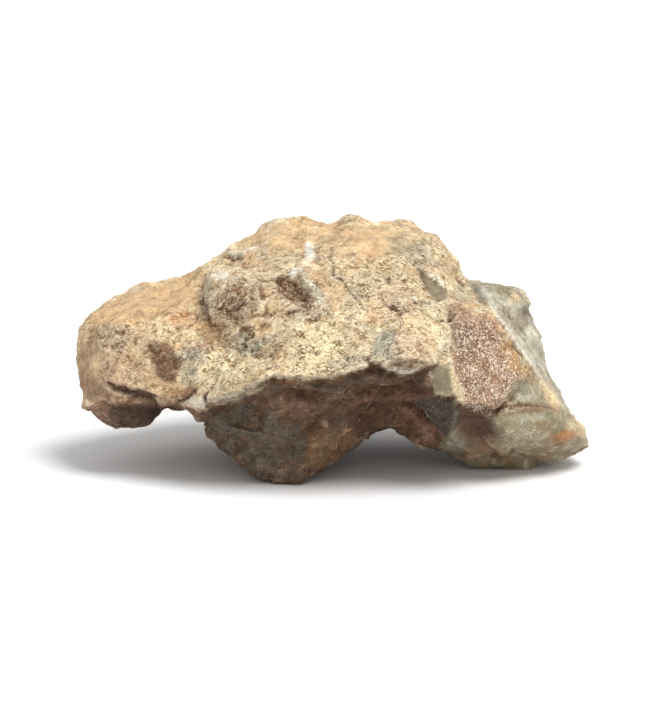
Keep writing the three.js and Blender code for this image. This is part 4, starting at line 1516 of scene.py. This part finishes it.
@dataclass(frozen=True)
class StoneFinish:
    """The look of the stone: gritty crust, sparkling grains, dull broken faces and a glassy end.

    Sizes are in millimetres. A range is where a pattern's value starts and ends a mark's fade.
    """

    fibre_size: float = 0.21
    fibre_pull: float = 3.8
    fibre_leans: Range = (32.0, -28.0)
    streak_lean: float = -57.0
    speck_size: float = 0.22
    spark_size: float = 0.15
    drift_size: float = 2.9
    calm_size: float = 2.6
    cluster_size: float = 1.5
    curl_size: float = 0.75
    thread_size: float = 0.60
    break_size: float = 0.9
    dot_size: float = 0.36
    lie: Triple = (0.7, 1.0, 1.15)
    roughness: float = 0.62
    drift_range: Range = (0.42, 0.58)
    calm_range: Range = (0.35, 0.60)
    cluster_range: Range = (0.35, 0.65)
    felt_range: Range = (0.31, 0.55)
    streak_range: Range = (0.36, 0.64)
    flake_range: Range = (0.56, 0.64)
    dot_range: Range = (0.58, 0.64)
    thread_range: Range = (0.06, 0.015)
    thread_breaks: Range = (0.56, 0.46)
    thread_grit: Range = (0.58, 0.9)
    crack_range: Range = (0.065, 0.02)
    crack_breaks: Range = (0.46, 0.56)
    grain_range: Range = (0.0, 0.26)
    streak_share: float = 0.45
    flake_share: float = 0.55
    thread_share: float = 0.75
    crack_share: float = 0.95
    dot_share: float = 0.6
    gap_share: float = 0.8
    glint_share: float = 0.75
    thread: tuple[float, float, float, float] = (0.95, 0.79, 0.53, 1.0)
    glint: tuple[float, float, float, float] = (0.92, 0.77, 0.60, 1.0)
    dark: Triple = (0.34, 0.26, 0.17)
    light: Triple = (1.24, 1.22, 1.15)
    flake_shade: Triple = (1.50, 1.50, 1.45)
    crack_shade: Triple = (0.24, 0.15, 0.08)
    gap_shade: Triple = (0.32, 0.24, 0.19)
    felt_part: float = 0.8
    twinkle_part: float = 0.62
    least_grain: float = 0.12
    least_calm: float = 0.7
    least_dots: float = 0.15
    least_cracks: float = 0.3
    flake_relief: float = 0.3
    thread_relief: float = 0.4
    crack_relief: float = 0.6
    dot_relief: float = 0.4
    spark_relief: float = 0.3
    dullness: float = 0.9
    gloss_polish: float = 0.5
    glint_polish: float = 0.2
    shine: float = 0.4
    bump: float = 1.0
    depth: float = 0.19

    def noise(self, graph: Graph, place: Wire, size: float, detail: float = 2.0, twist: float = 0.0) -> Wire:
        """A cloudy pattern from 0 to 1, with the size of its largest clouds in millimetres."""
        return graph.node("ShaderNodeTexNoise", {}, {
            "Vector": place, "Scale": 1.0 / size, "Detail": detail, "Roughness": self.roughness,
            "Distortion": twist})

    def fibres(self, graph: Graph, place: Wire, turn: float) -> Wire:
        """Grain from 0 to 1, drawn out at a turn in degrees up from the stone's length."""
        turned = graph.node("ShaderNodeMapping", {"vector_type": "TEXTURE"}, {
            "Vector": place, "Rotation": (0.0, -math.radians(turn), 0.0),
            "Scale": (self.fibre_pull, 1.0, 1.0)})
        return self.noise(graph, turned, self.fibre_size, 1.0, 1.0)

    @staticmethod
    def least(low: float, share: Wire) -> Wire:
        """Keeps a share from 0 to 1 above a least one."""
        return low + (1.0 - low) * share

    def felt(self, graph: Graph, place: Wire) -> Wire:
        """Fibres that lie one way here and another way there.

        Args:
            graph: The material's nodes.
            place: Places on the stone, in millimetres.

        Returns:
            A value from 0 to 1.
        """
        where = self.noise(graph, place, self.drift_size, 1.0).ease(*self.drift_range)
        first, second = (self.fibres(graph, place, lean) for lean in self.fibre_leans)
        return first * where + second * (1.0 - where)

    def twinkle(self, graph: Graph, place: Wire) -> Wire:
        """A random value from 0 to 1 for each small grain."""
        cells = graph.node("ShaderNodeTexVoronoi", {"feature": "F1"}, {
            "Vector": place, "Scale": 1.0 / self.spark_size, "Randomness": 1.0}, "Color")
        return graph.node("ShaderNodeSeparateColor", {}, {"Color": cells}, 0)

    def build(self) -> bpy.types.Material:
        """Makes the material.

        Returns:
            The material, for a mesh that keeps the paint's attributes.
        """
        graph = Graph("stone")
        place = graph.node("ShaderNodeTexCoord", {}, {}, "Object") * (1.0 / MM)
        tint = graph.attribute("tint", "Color")
        names = ("grit", "spark", "gloss", "streak")
        grit, spark, gloss, streak = (graph.attribute(name, "Fac") for name in names)
        specks = self.noise(graph, place, self.speck_size)
        calm = self.noise(graph, place, self.calm_size, 3.0).ease(*self.calm_range)
        cluster = self.noise(graph, place, self.cluster_size, 3.0).ease(*self.cluster_range)
        curls = self.noise(graph, place * self.lie, self.curl_size, 3.0, 1.0)
        threads = self.noise(graph, place * self.lie + 80.0, self.thread_size, 3.0, 1.2)
        breaks = self.noise(graph, place + 20.0, self.break_size, 2.0)
        dots = self.noise(graph, place * self.lie + 40.0, self.dot_size, 2.0, 1.6).ease(*self.dot_range)
        dots = dots * self.least(self.least_dots, cluster)
        flake = curls.ease(*self.flake_range)
        thread = abs(threads - 0.5).ease(*self.thread_range) * breaks.ease(*self.thread_breaks)
        crack = abs(curls - 0.5).ease(*self.crack_range) * breaks.ease(*self.crack_breaks)
        crack = crack * self.least(self.least_cracks, cluster)

        height = self.felt_part * self.felt(graph, place) + (1.0 - self.felt_part) * specks
        streaks = self.fibres(graph, place, self.streak_lean).ease(*self.streak_range)
        coarse = self.least(self.least_grain, grit)
        level = coarse * self.least(self.least_calm, calm) * (height.ease(*self.felt_range) - 0.5)
        level = level + self.streak_share * streak * (streaks - 0.5) + 0.5
        colour = graph.blend(level, tint * self.dark, tint * self.light)
        colour = graph.blend(self.flake_share * flake * grit, colour, tint * self.flake_shade)
        colour = graph.blend(self.thread_share * thread * grit.ease(*self.thread_grit), colour, self.thread)
        for share, mark in ((self.crack_share, crack), (self.dot_share, dots)):
            colour = graph.blend(share * mark * grit, colour, tint * self.crack_shade)

        # Glints are blended into the colour: on the plate partly its pale grains and partly painted sparkle,
        # on the brick, the nose and the glassy end painted sparkle highlights.
        twinkle = self.twinkle(graph, place)
        grains = self.twinkle_part * twinkle + (1.0 - self.twinkle_part) * specks
        gap = (spark * (0.98 - 0.14 * cluster) - 0.45 - grains).ease(*self.grain_range)
        glint = (grains + spark * (0.20 + 0.18 * cluster) - 0.82).ease(*self.grain_range)
        colour = graph.blend(self.gap_share * gap, colour, tint * self.gap_shade)
        colour = graph.blend(self.glint_share * glint, colour, self.glint)

        raised = self.flake_relief * flake + self.thread_relief * thread
        sunk = self.crack_relief * crack + self.dot_relief * dots
        relief = (height + raised - sunk) * coarse + self.spark_relief * spark * twinkle
        bump = graph.node("ShaderNodeBump", {}, {
            "Strength": self.bump, "Distance": self.depth * MM, "Height": relief}, "Normal")
        rough = self.dullness - self.gloss_polish * gloss - self.glint_polish * glint
        return graph.surface({
            "Base Color": colour, "Roughness": rough, "Normal": bump, "Specular IOR Level": self.shine})


@dataclass
class Meteorite:
    """The stone itself: a fine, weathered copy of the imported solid."""

    solid: bpy.types.Object
    view: View
    voxel: float = 0.278
    rub: int = 18

    def build(self) -> bpy.types.Object:
        """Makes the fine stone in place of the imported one.

        Returns:
            The new piece.
        """
        skin = self.skin()
        skin.rub(self.rub)
        skin.turn()
        weathering = Weathering()
        weathering.coarse(skin, Zones(skin))
        for mark in MARKS:
            mark.carve(skin)
        skin.turn()
        zones = Zones(skin)
        weathering.fine(skin, zones)
        skin.points[:, 2] = np.maximum(skin.points[:, 2], 0.0)
        mesh = self.mesh(skin)
        Paint(skin, zones).store(mesh)
        mesh.materials.append(StoneFinish().build())
        piece = bpy.data.objects.new("meteorite", mesh)
        bpy.context.scene.collection.objects.link(piece)
        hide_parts(NODE)
        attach(piece, BODY)
        return piece

    def skin(self) -> Skin:
        """Copies the solid and covers it evenly with small faces.

        Returns:
            The fine surface.
        """
        copy = bpy.data.objects.new("fine", self.solid.data.copy())
        bpy.context.scene.collection.objects.link(copy)
        remesh = copy.modifiers.new("remesh", "REMESH")
        remesh.mode = "VOXEL"
        remesh.voxel_size = self.voxel * MM
        bpy.context.view_layer.update()
        made = copy.evaluated_get(bpy.context.evaluated_depsgraph_get()).data
        points = np.empty(len(made.vertices) * 3, np.float32)
        made.vertices.foreach_get("co", points)
        corners = np.empty(len(made.loops), np.int32)
        made.loops.foreach_get("vertex_index", corners)
        points = points.reshape(-1, 3).astype(float) / MM
        bpy.data.objects.remove(copy)
        return Skin(points, corners.reshape(-1, 4).copy(), self.view)

    def mesh(self, skin: Skin) -> bpy.types.Mesh:
        """Turns the surface back into a mesh.

        Args:
            skin: The surface.

        Returns:
            The mesh, in metres.
        """
        mesh = bpy.data.meshes.new("meteorite")
        mesh.from_pydata((skin.points * MM).tolist(), [], skin.quads.tolist())
        mesh.shade_smooth()
        return mesh


@dataclass(frozen=True)
class Studio:
    """The floor, the lights and the pale surroundings."""

    floor_size: float = 4.0
    floor_shade: float = 0.88
    floor_rough: float = 0.9
    floor_shine: float = 0.1
    sky: float = 0.68
    key_from: Triple = (0.32, -0.30, 0.90)
    key_width: float = math.radians(28.0)
    key_strength: float = 2.6

    def build(self) -> list[bpy.types.Object]:
        """Makes the floor and the lights.

        Returns:
            The objects made.
        """
        scene = bpy.context.scene
        scene.view_settings.view_transform = "Standard"
        world = bpy.data.worlds.new("room")
        world.use_nodes = True
        background = world.node_tree.nodes["Background"]
        background.inputs["Color"].default_value = (1.0, 1.0, 1.0, 1.0)
        background.inputs["Strength"].default_value = self.sky
        scene.world = world
        return [self.floor(), self.key()]

    def floor(self) -> bpy.types.Object:
        """Makes the plain pale floor.

        Returns:
            The floor object.
        """
        half = self.floor_size / 2.0
        mesh = bpy.data.meshes.new("floor")
        corners = [(-half, -half, 0), (half, -half, 0), (half, half, 0), (-half, half, 0)]
        mesh.from_pydata(corners, [], [(0, 1, 2, 3)])
        shade = self.floor_shade
        mesh.materials.append(Graph("floor").surface({
            "Base Color": (shade, shade, shade, 1.0), "Roughness": self.floor_rough,
            "Specular IOR Level": self.floor_shine}))
        floor = bpy.data.objects.new("floor", mesh)
        bpy.context.scene.collection.objects.link(floor)
        return floor

    def key(self) -> bpy.types.Object:
        """Makes the one soft light, high up, in front and a little to the right.

        Returns:
            The light object.
        """
        data = bpy.data.lights.new("key", "SUN")
        data.angle = self.key_width
        data.energy = self.key_strength
        light = bpy.data.objects.new("key", data)
        light.rotation_euler = (-Vector(self.key_from)).to_track_quat("-Z", "Y").to_euler()
        bpy.context.scene.collection.objects.link(light)
        return light


def main() -> None:
    """Builds the view, the stone and the studio, and notes the size."""
    logging.basicConfig(level=logging.INFO, format="%(message)s")
    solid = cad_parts[NODE]
    box = np.array([vertex.co for vertex in solid.data.vertices], float) / MM
    view = View(box)
    log.info("camera: %.4f mm a pixel", view.scale)
    view.build()
    piece = Meteorite(solid, view).build()
    log.info("%s: %d faces", piece.name, len(piece.data.polygons))
    for made in Studio().build():
        log.info("%s", made.name)


if __name__ == "__main__":
    main()
